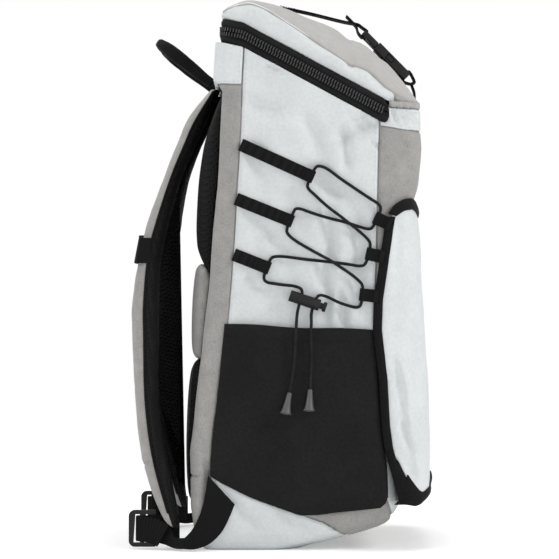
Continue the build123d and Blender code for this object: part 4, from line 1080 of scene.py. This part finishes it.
# a point at a height above the bag's side
def sidePoint(side, y, z, height):
    return Vector((side * (bag["halfWidth"] + height), y, z)) * mm


def cordCurve(name, side, route):
    curve = bpy.data.curves.new(name, "CURVE")
    curve.dimensions = "3D"
    spline = curve.splines.new("NURBS")
    spline.points.add(len(route) - 1)
    for point, (y, z, height) in zip(spline.points, route):
        point.co = (*sidePoint(side, y, z, height), 1)
    spline.order_u = 3
    spline.use_endpoint_u = True
    spline.resolution_u = 6
    curve.bevel_depth = lace["cord"] / 2 * mm
    curve.bevel_resolution = 3
    curve.use_fill_caps = True
    curve.materials.append(cordSheath)
    cord = bpy.data.objects.new(name, curve)
    bpy.context.collection.objects.link(cord)
    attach(cord, "pack")
    return cord


# a doubled strap whose fold makes the eye for the cord
def laceStrap(side, root, eye, height):
    length = hypot(eye[0] - root[0], eye[1] - root[1])
    run = Vector((0, (eye[0] - root[0]) / length, (eye[1] - root[1]) / length))
    out = Vector((side, 0, 0))
    start = Vector((side * bag["halfWidth"], root[0], root[1]))
    centre, radius = lace["eyeHeight"], lace["eyeRadius"]
    path = [(0, height + 1.1), (length * 0.45, height + 1.1), (length - 9, height + 1.2),
            (length - 4.4, centre + 1.5)]
    path += [(length + radius * sin(radians(turn)), centre + radius * cos(radians(turn)))
             for turn in range(-15, 196, 30)]
    path += [(length - 4.4, centre - 2.1), (length - 8, height + 0.2), (length * 0.5, height)]
    points = [start + run * step + out * high for step, high in path]
    return sweptForm(smoothPath(points, 4), out.cross(run), lace["width"], 1.0, 14, 8)


# a bell-shaped end with a flared rim, spun from its section: radius, place along the cord
bellSection = [(1.7, -3.0), (2.3, -2.6), (2.5, 0), (2.9, 5), (3.7, 11), (4.7, 15.6), (5.5, 17.0), (5.6, 17.9),
               (4.9, 18.2), (4.2, 16.5), (2.6, 8.0), (1.5, 5.0)]


def cordBell(end, down):
    bell = bmesh.new()
    ring = [bell.verts.new((radius * mm, 0, place * mm)) for radius, place in bellSection]
    edges = [bell.edges.new(pair) for pair in zip(ring, ring[1:])]
    bmesh.ops.spin(bell, geom=ring + edges, cent=(0, 0, 0), axis=(0, 0, 1), angle=2 * pi, steps=20,
                   use_merge=True)
    bmesh.ops.remove_doubles(bell, verts=bell.verts, dist=1e-6)
    closeEnds(bell)
    turned = down.to_track_quat("Z", "Y").to_matrix().to_4x4()
    bmesh.ops.transform(bell, matrix=Matrix.Translation(end) @ turned, verts=bell.verts)
    return bell


for side, label in ((-1, "left"), (1, "right")):
    for kind, entries in (("laceStrap", lace["straps"]), ("flapLoop", lace["loops"])):
        for number, entry in enumerate(entries):
            if kind == "laceStrap":
                root, eye, height, stands = entry[:2], entry[2:], 0.9, ["side_lace_straps"]
            else:
                eye, slope = entry[:2], radians(entry[2])
                root = (eye[0] - lace["loopLength"] * cos(slope), eye[1] - lace["loopLength"] * sin(slope))
                height, stands = lace["overFlap"] + 1.0, ["flap_lace_loops"]
            bm = laceStrap(side, root, eye, height)
            makePiece(bm, f"{kind}{number + 1}.{label}", [blackWebbing], "pack", stands)
    cord = cordCurve("laceCord." + label, side, lace["route"])
    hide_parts("lace_cord_" + label)
    y, z, height = lace["route"][0]
    for number, (route, length) in enumerate(zip(lace["tails"], lace["tailLengths"])):
        tail = cordCurve(f"cordTail{number + 1}.{label}", side, route)
        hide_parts("cord_tails")
        y, z, height = route[0]
        end = sidePoint(side, *route[-1])
        down = (end - sidePoint(side, *route[-2])).normalized() + Vector((side * 0.12, 0, 0))
        piece = makePiece(cordBell(end, down), f"cordBell{number + 1}.{label}", [paleAcetal], "pack",
                          ["cord_ends"])
print("lacing threaded")

# shoulder straps: a padded felt cover and a mesh lining, sewn together round the edge under a piping
strap = {
    # side-view curves of the outer face, of the lining and of the seam between them: y, z
    "outer": [(72, 454.6), (93.5, 428), (106.8, 396), (117.4, 368), (134.6, 319), (143.7, 275), (148, 239),
              (147.8, 212), (144, 146), (138.3, 94), (125.2, 50), (113, 24)],
    "inner": [(62.5, 454.6), (79.7, 415.5), (87.4, 398.8), (100.4, 368), (109.3, 336), (117.2, 304),
              (121.5, 275), (122, 245), (121.9, 146), (114.2, 94), (104, 47), (100, 20)],
    "middle": [(67, 454.6), (86.5, 422), (96.8, 398), (108.8, 368), (121.5, 328), (131, 290), (135, 243),
               (134.8, 210), (133, 146), (126.2, 94), (114.6, 48.5), (106.5, 22)],
    # outline from behind: height, middle, half width
    "plan": [(18, 112, 14), (55, 110, 22), (100, 105, 27), (170, 97, 30), (250, 86, 31), (330, 70, 32),
             (400, 54, 31), (456, 46, 27)],
    # the sewn groove above the strap's end, and how far the right strap hangs forward
    "grooveZ": 90.0, "rightHang": 7.0, "length": 470.0,
    # share of the grid on the swollen face, where the blunt end starts, and its half width's last share
    "faceShare": 0.7, "endFrom": 0.98, "endHalf": 0.55, "piping": 2.4,
}


# a curve's points as (share of its length, y, z)
def byShare(points, steps=10):
    dense = smoothPath([(0, *point) for point in points], steps)
    walked = [0.0]
    for a, b in zip(dense, dense[1:]):
        walked.append(walked[-1] + (b - a).length)
    return [(distance / walked[-1], point.y, point.z) for distance, point in zip(walked, dense)]


strapCurves = {name: byShare(strap[name]) for name in ("outer", "inner", "middle")}


def curvePoint(name, share):
    return along(strapCurves[name], share), along(strapCurves[name], share, 2)


# middle and half width of a strap at a height
def strapPlan(height):
    return eased(strap["plan"], height, 1, 20), eased(strap["plan"], height, 2, 20)


def strapPlace(side, face):
    sign = 1 if face == "outer" else -1
    faceShare, endFrom, endHalf = strap["faceShare"], strap["endFrom"], strap["endHalf"]

    def place(u, v):
        seamY, seamZ = curvePoint("middle", v)
        faceY, faceZ = curvePoint(face, v)
        middle, half = strapPlan(seamZ)
        end = 1
        if v >= endFrom:
            end = mix(endHalf, 1, sqrt(max(0.0, 1 - ((v - endFrom) / (1 - endFrom)) ** 2)))
        crossed = u / faceShare
        if crossed <= 1:
            across = -cos(pi * crossed)
            rise = (1 - abs(across) ** 3.2) ** 0.42
        else:
            across = mix(1, -1, (u - faceShare) / (1 - faceShare))
            rise = -0.04 if face == "outer" else 0.04
        x = middle + half * end * across
        if rise > 0.05:
            thick = hypot(faceY - seamY, faceZ - seamZ)
            soft = 0.5 * rough(x * 2, seamZ, sign * 9, 24) + 0.3 * rough(x, seamZ, sign * 5, 9)
            chevron = strap["grooveZ"] - 10 * (1 - abs(across))
            if face == "outer":
                soft -= 2.6 * bump(faceZ - chevron, 1.8) - 0.6 * bump(faceZ - chevron - 5, 3)
            rise += soft / thick
        rise *= end
        y, z = mix(seamY, faceY, rise), mix(seamZ, faceZ, rise)
        if side > 0:
            hang = strap["rightHang"] * bump(seamZ - 285, 75) * (0.6 + 0.4 * across)
            y -= hang * (1.5 if face == "inner" and crossed <= 1 else 0.6)
        return (side * x, y, z)
    return place


for side, label in ((-1, "left"), (1, "right")):
    for face, material, slotName, node in (("outer", greyFelt, "grey_felt", "shoulder_straps"),
                                           ("inner", airMesh, "black_mesh", "strap_linings")):
        form = gridOnForm(40, 250, strapPlace(side, face), (140, strap["length"]))
        closeEnds(form)
        name = ("strapCover." if face == "outer" else "strapLining.") + label
        piece = makePiece(form, name, [material], "harness", [node])
    # piping bound over the seam down both edges
    for edge in (-1, 1):
        points = []
        for step in range(120):
            seamY, seamZ = curvePoint("middle", 0.005 + 0.96 * step / 119)
            middle, half = strapPlan(seamZ)
            points.append(Vector((side * (middle + edge * (half + 0.1)), seamY, seamZ)))
        piping = sweptForm(points, (1, 0, 0), strap["piping"], strap["piping"], 8, 2)
        name = ("strapPipingInner." if edge < 0 else "strapPipingOuter.") + label
        makePiece(piping, name, [bindingTape], "harness")
print("straps sewn")

# webbing ribbons threaded through the lid's buckle and the sternum's
buckle = {
    "width": 25, "thick": 1.6, "lidJoint": (0, -99.0, 502.0), "lidSlope": 45.4, "sternumZ": 293.5,
    # where each half's bar lies from the joint, and how thick that half is there
    "maleBar": -20.8, "maleThick": 3.0, "socketBar": 39.5, "socketThick": 4.5,
}
strapByHeight = sorted((z, y) for share, y, z in strapCurves["outer"])
lidSlope = radians(buckle["lidSlope"])


# a point on the lid's buckle, ahead of its joint and out from the lid
def lidBuckle(ahead, out):
    y, z = buckle["lidJoint"][1:]
    return Vector((0, y - ahead * cos(lidSlope) - out * sin(lidSlope),
                   z - ahead * sin(lidSlope) + out * cos(lidSlope)))


# points round a buckle's bar as distances along and out; away is -1 or +1
def barLoop(bar, half, away):
    reach, side = 2.1, half + 0.95
    return [(bar + away * 12, 1.8), (bar + away * 6, side * 0.8), (bar + away * 2, side),
            (bar - away * reach * 0.4, side), (bar - away * reach, half * 0.6),
            (bar - away * reach, -half * 0.6), (bar - away * reach * 0.4, -side), (bar + away * 2, -side),
            (bar + away * 6, -side * 0.8), (bar + away * 12, -0.4), (bar + away * 26, -0.2)]


# a box of thread with a cross, just proud of the webbing
stitchRow = {"pitch": 2.6, "length": 1.9, "thick": 0.5}


def stitchBox(name, body, place, ahead, wide, size):
    thread = bmesh.new()
    tall, across = size
    length, thick = stitchRow["length"], stitchRow["thick"]
    corners = [(-1, -1), (1, -1), (1, 1), (-1, 1)]
    runs = [(corners[i], corners[(i + 1) % 4]) for i in range(4)]
    runs += [(corners[0], corners[2]), (corners[1], corners[3])]
    ahead, wide = Vector(ahead).normalized(), Vector(wide).normalized()
    out = ahead.cross(wide)
    for (a0, w0), (a1, w1) in runs:
        start = Vector(place) + ahead * a0 * tall / 2 + wide * w0 * across / 2
        end = Vector(place) + ahead * a1 * tall / 2 + wide * w1 * across / 2
        count = max(3, int((end - start).length / stitchRow["pitch"]))
        run = (end - start).normalized()
        for number in range(count):
            centre = start.lerp(end, (number + 0.5) / count) * mm
            axes = Matrix((run * length * mm, run.cross(out) * thick * mm,
                           out * thick * mm)).transposed().to_4x4()
            bmesh.ops.create_cube(thread, size=1.0, matrix=Matrix.Translation(centre) @ axes)
    makePiece(thread, name, [threadNylon], body, smooth=False)


def buckleBand(points, wide):
    return sweptForm(smoothPath(points, 5), wide, buckle["width"], buckle["thick"], 16, 8)


rearPath = [(0, 2, 543.2), (0, -12, 541.4), (0, -33, 536.8), (0, -62, 529.6)]
rearPath += [lidBuckle(*point) for point in barLoop(buckle["maleBar"], buckle["maleThick"], -1)]
makePiece(buckleBand(rearPath, (1, 0, 0)), "lidStrapRear", [blackWebbing], "lid", ["lid_strap"])
frontPath = [lidBuckle(*point) for point in barLoop(buckle["socketBar"], buckle["socketThick"], 1)[::-1]]
frontPath = frontPath[1:] + [(0, -133, 466), (0, -136, 456), (0, -136.2, 446.5)]
makePiece(buckleBand(frontPath, (1, 0, 0)), "lidStrapFront", [blackWebbing], "lid", ["lid_strap"])
stitchBox("lidStrapStitch", "lid", (0, -6, 543.6), (0, 1, 0.2), (1, 0, 0), (16, 19))

# the sternum strap lies on the shoulder straps' slope and wraps their outer edges
sternumZ = buckle["sternumZ"]
sternumY = along(strapByHeight, sternumZ) + 2.5
slopeY = (along(strapByHeight, sternumZ + 12.5) - along(strapByHeight, sternumZ - 12.5)) / buckle["width"]
sternumWide = Vector((0, slopeY, 1)).normalized()
edgeX = sum(strapPlan(sternumZ))
for side, bar, half, name in ((-1, buckle["maleBar"], buckle["maleThick"], "sternumStrapLeft"),
                              (1, buckle["socketBar"], buckle["socketThick"], "sternumStrapRight")):
    wrap = [(2.6, -14), (2.6, -6), (1.6, -2.2), (-4, -0.3), (-14, 0.2), (-26, 0.3)]
    points = [(side * (edgeX + x), sternumY + out, sternumZ) for x, out in wrap]
    points += [(x, sternumY + out, sternumZ) for x, out in barLoop(bar, half, side) if abs(x) < edgeX - 30]
    makePiece(buckleBand(points, sternumWide), name, [blackWebbing], "harness", ["sternum_strap"])
print("buckle straps threaded")

# at each lower corner a wing on the bag, a webbing to the ladder lock and a tab on the strap's end
corner = {
    "pivot": (112.0, 126.5, 20.5), "width": 25, "tabThick": 1.1, "tabRadius": 3.3, "wingWall": 2.2,
    # edges of the wing: y, z
    "wingOuter": [(46, 46), (50, 36), (58, 20), (70, 8), (84, 2.5), (95, 2.5)],
    "wingInner": [(72, 74), (77, 45), (86, 24), (95, 13)],
    "wingX": 136.3,
    # the webbing's first points follow the bag and the strap, those from split on follow the ladder lock
    "split": 30,
    # ribbon from the wing to the ladder lock: x, y, z, width, thickness
    "ribbon": [(136.2, 86, 8.5, 12, 2.2), (135.4, 94, 8.0, 11, 2.4), (130, 101, 7.4, 11, 3.0),
               (124, 107, 8.6, 12, 2.8), (119, 113, 13.5, 19, 1.8), (115.5, 121, 18.5, 24, 1.6),
               (113.5, 128, 20.0, 25, 1.6), (110.2, 131.5, 20.4, 25, 1.6), (107.9, 135.4, 20.5, 25, 1.6),
               (108.3, 140.5, 20.5, 25, 1.6), (111.8, 143.0, 20.5, 25, 1.6), (115.2, 140.6, 20.4, 25, 1.6),
               (116.4, 136.0, 20.2, 25, 1.6), (117.6, 129, 19.2, 25, 1.6), (119.5, 122, 17.0, 25, 1.6),
               (122, 116.5, 13.5, 25, 1.6)],
}
outerEdge, innerEdge = byShare(corner["wingOuter"]), byShare(corner["wingInner"])


def wingPlace(side):
    def place(u, v):
        y = mix(along(outerEdge, v), along(innerEdge, v), u)
        z = mix(along(outerEdge, v, 2), along(innerEdge, v, 2), u)
        fold = 0.9 * sin(pi * u) * (1 - v) + 0.6 * v + 0.5 * rough(y * 2, z * 2, 5, 16)
        return (side * (corner["wingX"] + fold), y, max(z, 1.0))
    return place


# a band through a run of points whose sizes are (width, thickness, 0)
def ribbonForm(points, sizes):
    last = len(sizes) - 1
    widthAt, thicknessAt = [lambda v, column=column: sizes[min(last, round(v * last))][column]
                            for column in (0, 1)]
    return sweptForm(points, (0, 0, 1), widthAt, thicknessAt, 16, 6)


for side, label in ((-1, "left"), (1, "right")):
    pivotX, pivotY, pivotZ = corner["pivot"]
    radius = corner["tabRadius"]
    loop = [(radius * cos(radians(turn)), radius * sin(radians(turn))) for turn in range(205, -26, -23)]
    loop = [(-0.7, -26), (-0.7, -10), (-1.6, -5.6)] + loop + [(1.6, -5.6), (0.7, -10), (0.7, -26)]
    points = [(side * (pivotX - x), pivotY + y, pivotZ) for x, y in loop]
    endTab = sweptForm(smoothPath(points, 3), (0, 0, 1), corner["width"], corner["tabThick"], 14, 8)
    makePiece(endTab, "strapEndTab." + label, [blackWebbing], "harness", ["strap_end_tabs"])

    wing = gridOnForm(16, 40, wingPlace(side), (34, 80))
    faceOutwards(wing, (0, 0, 40))
    makePiece(wing, "cornerWing." + label, [blackWebbing], "pack", ["webbing_wings"],
              wall=corner["wingWall"])

    # the webbing runs along the strap's end and its loop round the ladder lock; the two are made apart, on no
    # body, and baked where they lie
    dense = smoothPath([(side * x, y, z) for x, y, z, width, thick in corner["ribbon"]], 6)
    sizes = smoothPath([(width, thick, 0) for x, y, z, width, thick in corner["ribbon"]], 6)
    for name, first, last in (("lowerWebbing.", 0, corner["split"]),
                              ("lowerLoop.", corner["split"], len(dense) - 1)):
        form = ribbonForm(dense[first:last + 1], sizes[first:last + 1])
        piece = makePiece(form, name + label, [blackWebbing], None, ["lower_webbings"])
        if first == 0:
            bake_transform(piece)
        else:
            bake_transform(piece)
print("lower webbing threaded")

# grab handle: a padded roll of webbing, flatter where it is sewn in and fuller round its bends
handle = {
    "root": (0, 71.0, 463.0), "slope": 38.7, "half": 38.0, "reach": 66.0, "bend": 24.0,
    "height": 8.5, "fuller": 5, "depth": 12, "flatter": 2.5, "wrinkle": 0.5,
}
slope = radians(handle["slope"])
ahead = Vector((0, cos(slope), sin(slope)))
half, reach, bend = handle["half"], handle["reach"], handle["bend"]
plan = [(-half, -1), (-half, 10), (-half, 24), (-half, reach - bend)]
plan += [(-half + bend * (1 - cos(radians(turn))), reach - bend * (1 - sin(radians(turn))))
         for turn in (22, 45, 68, 90)]
plan += [(0, reach + 0.5)] + [(-x, y) for x, y in plan[::-1]]
points = smoothPath([Vector(handle["root"]) + Vector((x, 0, 0)) + ahead * y for x, y in plan], 4)
grip = sweptForm(points, (0, -sin(slope), cos(slope)),
                 lambda v: handle["height"] + handle["fuller"] * bump(abs(v - 0.5) - 0.29, 0.15),
                 lambda v: handle["depth"] - handle["flatter"] * bump(abs(v - 0.5) - 0.5, 0.1), 24, 3.4)
for vert in grip.verts:
    place = vert.co * 3 / mm
    vert.co += vert.normal * mm * handle["wrinkle"] * rough(*place, 22)
grabPiece = makePiece(grip, "grabHandle", [gripWebbing], "grab_handle", ["grab_handle"])
print("grab handle sewn")

# back padding: three pairs of pads, blown up by cloth pressure
pads = {
    # outer face: height, y
    "face": [(46, 93), (79, 95), (104, 95), (148, 93), (186, 90.5), (226, 89), (281, 86), (361, 83.6),
             (400, 78), (430, 68), (446, 60.5)],
    "inner": 20.0, "outer": 112.0, "sunk": 4.5, "slant": 11, "cuts": 13, "voxel": 5.0,
    # the filling: air pressure, length of the run, and how far the cloth may move
    "pressure": 4.0, "frames": 20, "limit": 2.5, "stiffness": 12,
    # name, lower end, upper end, cloth, slot, node
    "pieces": [("upper", 272, 446, airMesh, "black_mesh", "back_pad_upper"),
               ("middle", 185.5, 273, greyFelt, "grey_felt", "back_pad_middle"),
               ("lower", 46, 186.5, airMesh, "black_mesh", "back_pad_lower")],
}


def skinY(z):
    return along(bag["profile"], z, 2)


# a pad before it is filled: a block laid on the back, thin at its rim
def padForm(label, side, low, high):
    bm = bmesh.new()
    bmesh.ops.create_cube(bm, size=1.0)
    bmesh.ops.subdivide_edges(bm, edges=bm.edges, cuts=pads["cuts"], use_grid_fill=True)
    for vert in bm.verts:
        across, deep, tall = vert.co.x * 2, vert.co.y + 0.5, vert.co.z * 2
        rim = (1 - abs(across) ** 6) * (1 - abs(tall) ** (8 if label == "upper" and tall > 0 else 30))
        x = mix(pads["inner"], pads["outer"], (across + 1) / 2)
        # where two pads meet, the joint slants down from the face to the back
        slant = pads["slant"] * (2 * deep - 1)
        foot = low + (slant if label == "upper" else 0)
        head = high + (slant if label == "middle" else 0)
        z = mix(foot, head, (tall + 1) / 2)
        back = skinY(z)
        face = along(pads["face"], z)
        front = max(back + 1.5, mix(back + 0.5 * (face - back), face - 1.0, rim ** 0.6))
        y = mix(back - pads["sunk"], front, deep)
        vert.co = Vector((side * x, y, z)) * mm
    bmesh.ops.recalc_face_normals(bm, faces=bm.faces)
    return bm


# makes a piece's modifiers its mesh
def applyModifiers(piece):
    graph = bpy.context.evaluated_depsgraph_get()
    mesh = bpy.data.meshes.new_from_object(piece.evaluated_get(graph))
    piece.modifiers.clear()
    old = piece.data
    piece.data = mesh
    bpy.data.meshes.remove(old)


# fills the pads together in one run of the clock, then smooths them
def inflate(pieces):
    for piece in pieces:
        remesh = piece.modifiers.new("remesh", "REMESH")
        remesh.mode = "VOXEL"
        remesh.voxel_size = pads["voxel"] * mm
        applyModifiers(piece)
    starts = {}
    for piece in pieces:
        starts[piece.name] = [vert.co.copy() for vert in piece.data.vertices]
        pinned = piece.vertex_groups.new(name="pinned")
        held = [vert.index for vert in piece.data.vertices
                if vert.co.y / mm < skinY(vert.co.z / mm) + 1.0]
        pinned.add(held, 1.0, "REPLACE")
        cloth = piece.modifiers.new("cloth", "CLOTH")
        settings = cloth.settings
        settings.quality = 5
        settings.mass = 0.3
        settings.tension_stiffness = settings.compression_stiffness = pads["stiffness"]
        settings.bending_stiffness = 0.6
        settings.use_pressure = True
        settings.uniform_pressure_force = pads["pressure"]
        settings.effector_weights.gravity = 0
        settings.vertex_group_mass = "pinned"
        cloth.collision_settings.use_collision = False
        cloth.point_cache.frame_start = 1
        cloth.point_cache.frame_end = pads["frames"]
    for frameNumber in range(1, pads["frames"] + 1):
        bpy.context.scene.frame_set(frameNumber)
    for piece in pieces:
        applyModifiers(piece)
    bpy.context.scene.frame_set(1)
    limit = pads["limit"] * mm
    for piece in pieces:
        for vert, start in zip(piece.data.vertices, starts.get(piece.name, [])):
            moved = vert.co - start
            vert.co = start + (moved.normalized() * limit if moved.length > limit else moved)
        bm = bmesh.new()
        bm.from_mesh(piece.data)
        bmesh.ops.smooth_vert(bm, verts=bm.verts, factor=0.5, use_axis_x=True, use_axis_y=True,
                              use_axis_z=True)
        bm.to_mesh(piece.data)
        bm.free()
        soft = piece.modifiers.new("smooth", "SUBSURF")
        soft.levels = soft.render_levels = 1
        applyModifiers(piece)
        for vert in piece.data.vertices:
            vert.co.y = max(vert.co.y, (skinY(vert.co.z / mm) + 0.3) * mm)
        piece.data.polygons.foreach_set("use_smooth", [True] * len(piece.data.polygons))


padPieces = []
for label, low, high, material, slotName, node in pads["pieces"]:
    for side, sideName in ((-1, "Left"), (1, "Right")):
        form = padForm(label, side, low, high)
        padPieces.append(makePiece(form, f"{label}Pad{sideName}", [material], "pack", [node]))
inflate(padPieces)
print("back pads filled")

# moulded and metal parts: their solids, each with its edges rounded by so much
hardParts = {
    "lid_buckle_male": 0.35, "lid_buckle_female": 1.2, "lid_prong_left": 0.35, "lid_prong_right": 0.35,
    "sternum_buckle_male": 0.35, "sternum_buckle_female": 1.2,
    "sternum_prong_low": 0.35, "sternum_prong_high": 0.35, "ladder_lock_left": 0.9, "ladder_lock_right": 0.9,
    "cord_lock_body_left": 0.35, "cord_lock_body_right": 0.35,
    "cord_lock_button_left": 0.35, "cord_lock_button_right": 0.35,
    "zip_slider_front": 0.35, "zip_slider_rear": 0.35, "zip_pull_front": 0.35, "zip_pull_rear": 0.35,
}
# edges sharper than the first are rounded, flatter than the second shade smoothly, and under the third go
sharpAngle, roundAngle, flatAngle = radians(50), radians(32), radians(2)
# the ladder lock's outer bar, and how much wider it is moulded above and below its middle
lockBar = {"y": 146.5, "low": 6, "middle": 20.5, "high": 35, "wider": 2.4, "widerLow": 0.5}
bodyOf = {node: body for body, members in frame["record"]["behaviour"]["bodies"].items() for node in members}
for node, rounding in hardParts.items():
    bm = bmesh.new()
    bm.from_mesh(nodes[node].data)
    bmesh.ops.remove_doubles(bm, verts=bm.verts, dist=2e-6)
    if node.startswith("ladder_lock"):
        for vert in bm.verts:
            y, z = vert.co.y / mm, vert.co.z / mm
            if abs(y - lockBar["y"]) < 0.3 and lockBar["low"] < z < lockBar["high"]:
                vert.co.y -= lockBar["wider" if z > lockBar["middle"] else "widerLow"] * mm
    bmesh.ops.dissolve_limit(bm, angle_limit=flatAngle, verts=bm.verts, edges=bm.edges)
    sharp = [edge for edge in bm.edges if len(edge.link_faces) == 2 and edge.calc_face_angle(0) > sharpAngle]
    bmesh.ops.bevel(bm, geom=sharp, offset=rounding * mm, offset_type="OFFSET", affect="EDGES", segments=2,
                    profile=0.5, material=-1, clamp_overlap=True)
    for edge in bm.edges:
        edge.smooth = edge.calc_face_angle(0) < roundAngle
    material, slotName = (blackZinc, "zip_metal") if node.startswith("zip") else (acetal, "moulded_plastic")
    makePiece(bm, "finished." + node, [material], bodyOf[node], [node])
# the cord lock's button is pressed along this direction, which shortens the real spring; here the spring's
# end furthest along it and its length are found
pressed = Vector((0, 0.94721, 0.320613))
for label in ("left", "right"):
    node = "cord_lock_spring_" + label
    bm = bmesh.new()
    bm.from_mesh(nodes[node].data)
    fixed = max(bm.verts, key=lambda vert: vert.co.dot(pressed)).co.copy()
    length = fixed.dot(pressed) - min(vert.co.dot(pressed) for vert in bm.verts)
    piece = makePiece(bm, "finished." + node, [springSteel], "pack", [node])
    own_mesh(piece)
print("hard parts finished")

# floor, lights and camera, in metres
studio = {
    "floorHalf": 1.6, "floorMiddle": (-1.0, 0, 0),
    # how strongly the paper glows, and the surroundings' strength as light and as seen
    "glow": 0.3, "lighting": 0.36, "seen": 1.0,
    # place, what it is turned to, size, power
    "lights": {
        "keyLight": ((-0.9, -1.9, 1.5), (0, 0, 0.27), (0.5, 0.5), 20),
        "sideFill": ((-2.4, -0.2, 0.8), (0, 0, 0.27), (1.6, 1.4), 4.5),
        "lowFill": ((-1.9, -0.6, 0.12), (0, 0, 0.05), (1.2, 0.2), 4),
        "backFill": ((-0.6, 2.2, 1.2), (0, 0, 0.27), (1.4, 1.4), 17),
        "topLight": ((0.1, 0.1, 2.2), (0, 0, 0.27), (1.6, 1.6), 22),
    },
    "lens": 163, "sensor": 36, "cameraPlace": (-2.6, 0.0024, 0.265),
}


# 1 for the rays that show the surroundings, 0 for the rays that light the pack
def raysSeen(tree):
    rays = addNode(tree, "LightPath").outputs
    seen = addNode(tree, "Math", {0: rays["Is Camera Ray"], 1: rays["Is Glossy Ray"]}, operation="MAXIMUM")
    seen = addNode(tree, "Math", {0: seen.outputs[0], 1: rays["Is Transmission Ray"]}, operation="MAXIMUM")
    return seen.outputs[0]


floorMesh = bmesh.new()
bmesh.ops.create_grid(floorMesh, x_segments=1, y_segments=1, size=studio["floorHalf"],
                      matrix=Matrix.Translation(studio["floorMiddle"]))
floorData = bpy.data.meshes.new("floor")
floorMesh.to_mesh(floorData)
floorMesh.free()
floor = bpy.data.objects.new("floor", floorData)
bpy.context.collection.objects.link(floor)
# seamless studio paper, rolled and uncoated: white to the camera, with the pack's soft shadow kept
paper, tree, shader, places = newMaterial("studioPaper", 0.1)
shader.inputs["Roughness"].default_value = 0.9
grain = addNode(tree, "TexNoise", {"Vector": places["Object"], "Scale": 300.0})
tone = addNode(tree, "Mix", {"Factor": grain.outputs["Fac"], 6: linear("FBFBFB"), 7: linear("FFFFFF")},
               data_type="RGBA")
tree.links.new(tone.outputs[2], shader.inputs["Base Color"])
shader.inputs["Emission Color"].default_value = (1, 1, 1, 1)
glow = addNode(tree, "Math", {0: raysSeen(tree), 1: studio["glow"]}, operation="MULTIPLY")
tree.links.new(glow.outputs[0], shader.inputs["Emission Strength"])
floor.data.materials.append(paper)

scene = bpy.context.scene
world = bpy.data.worlds.new("studio")
scene.world = world
world.use_nodes = True
tree = world.node_tree
background = tree.nodes["Background"]
strength = addNode(tree, "Mix", {"Factor": raysSeen(tree), 2: studio["lighting"], 3: studio["seen"]},
                   data_type="FLOAT")
tree.links.new(strength.outputs[0], background.inputs["Strength"])
background.inputs["Color"].default_value = (1, 1, 1, 1)

for name, (place, target, size, power) in studio["lights"].items():
    lightData = bpy.data.lights.new(name, "AREA")
    lightData.shape = "RECTANGLE"
    lightData.size, lightData.size_y = size
    lightData.energy = power
    lamp = bpy.data.objects.new(name, lightData)
    lamp.location = place
    lamp.rotation_euler = (Vector(target) - Vector(place)).to_track_quat("-Z", "Y").to_euler()
    bpy.context.collection.objects.link(lamp)

cameraData = bpy.data.cameras.new("camera")
cameraData.lens = studio["lens"]
cameraData.sensor_width = studio["sensor"]
cameraData.clip_end = 50
camera = bpy.data.objects.new("camera", cameraData)
camera.location = studio["cameraPlace"]
camera.rotation_euler = (radians(90), 0, radians(-90))
bpy.context.collection.objects.link(camera)
scene.camera = camera
scene.view_settings.view_transform = "Standard"
print("studio set")
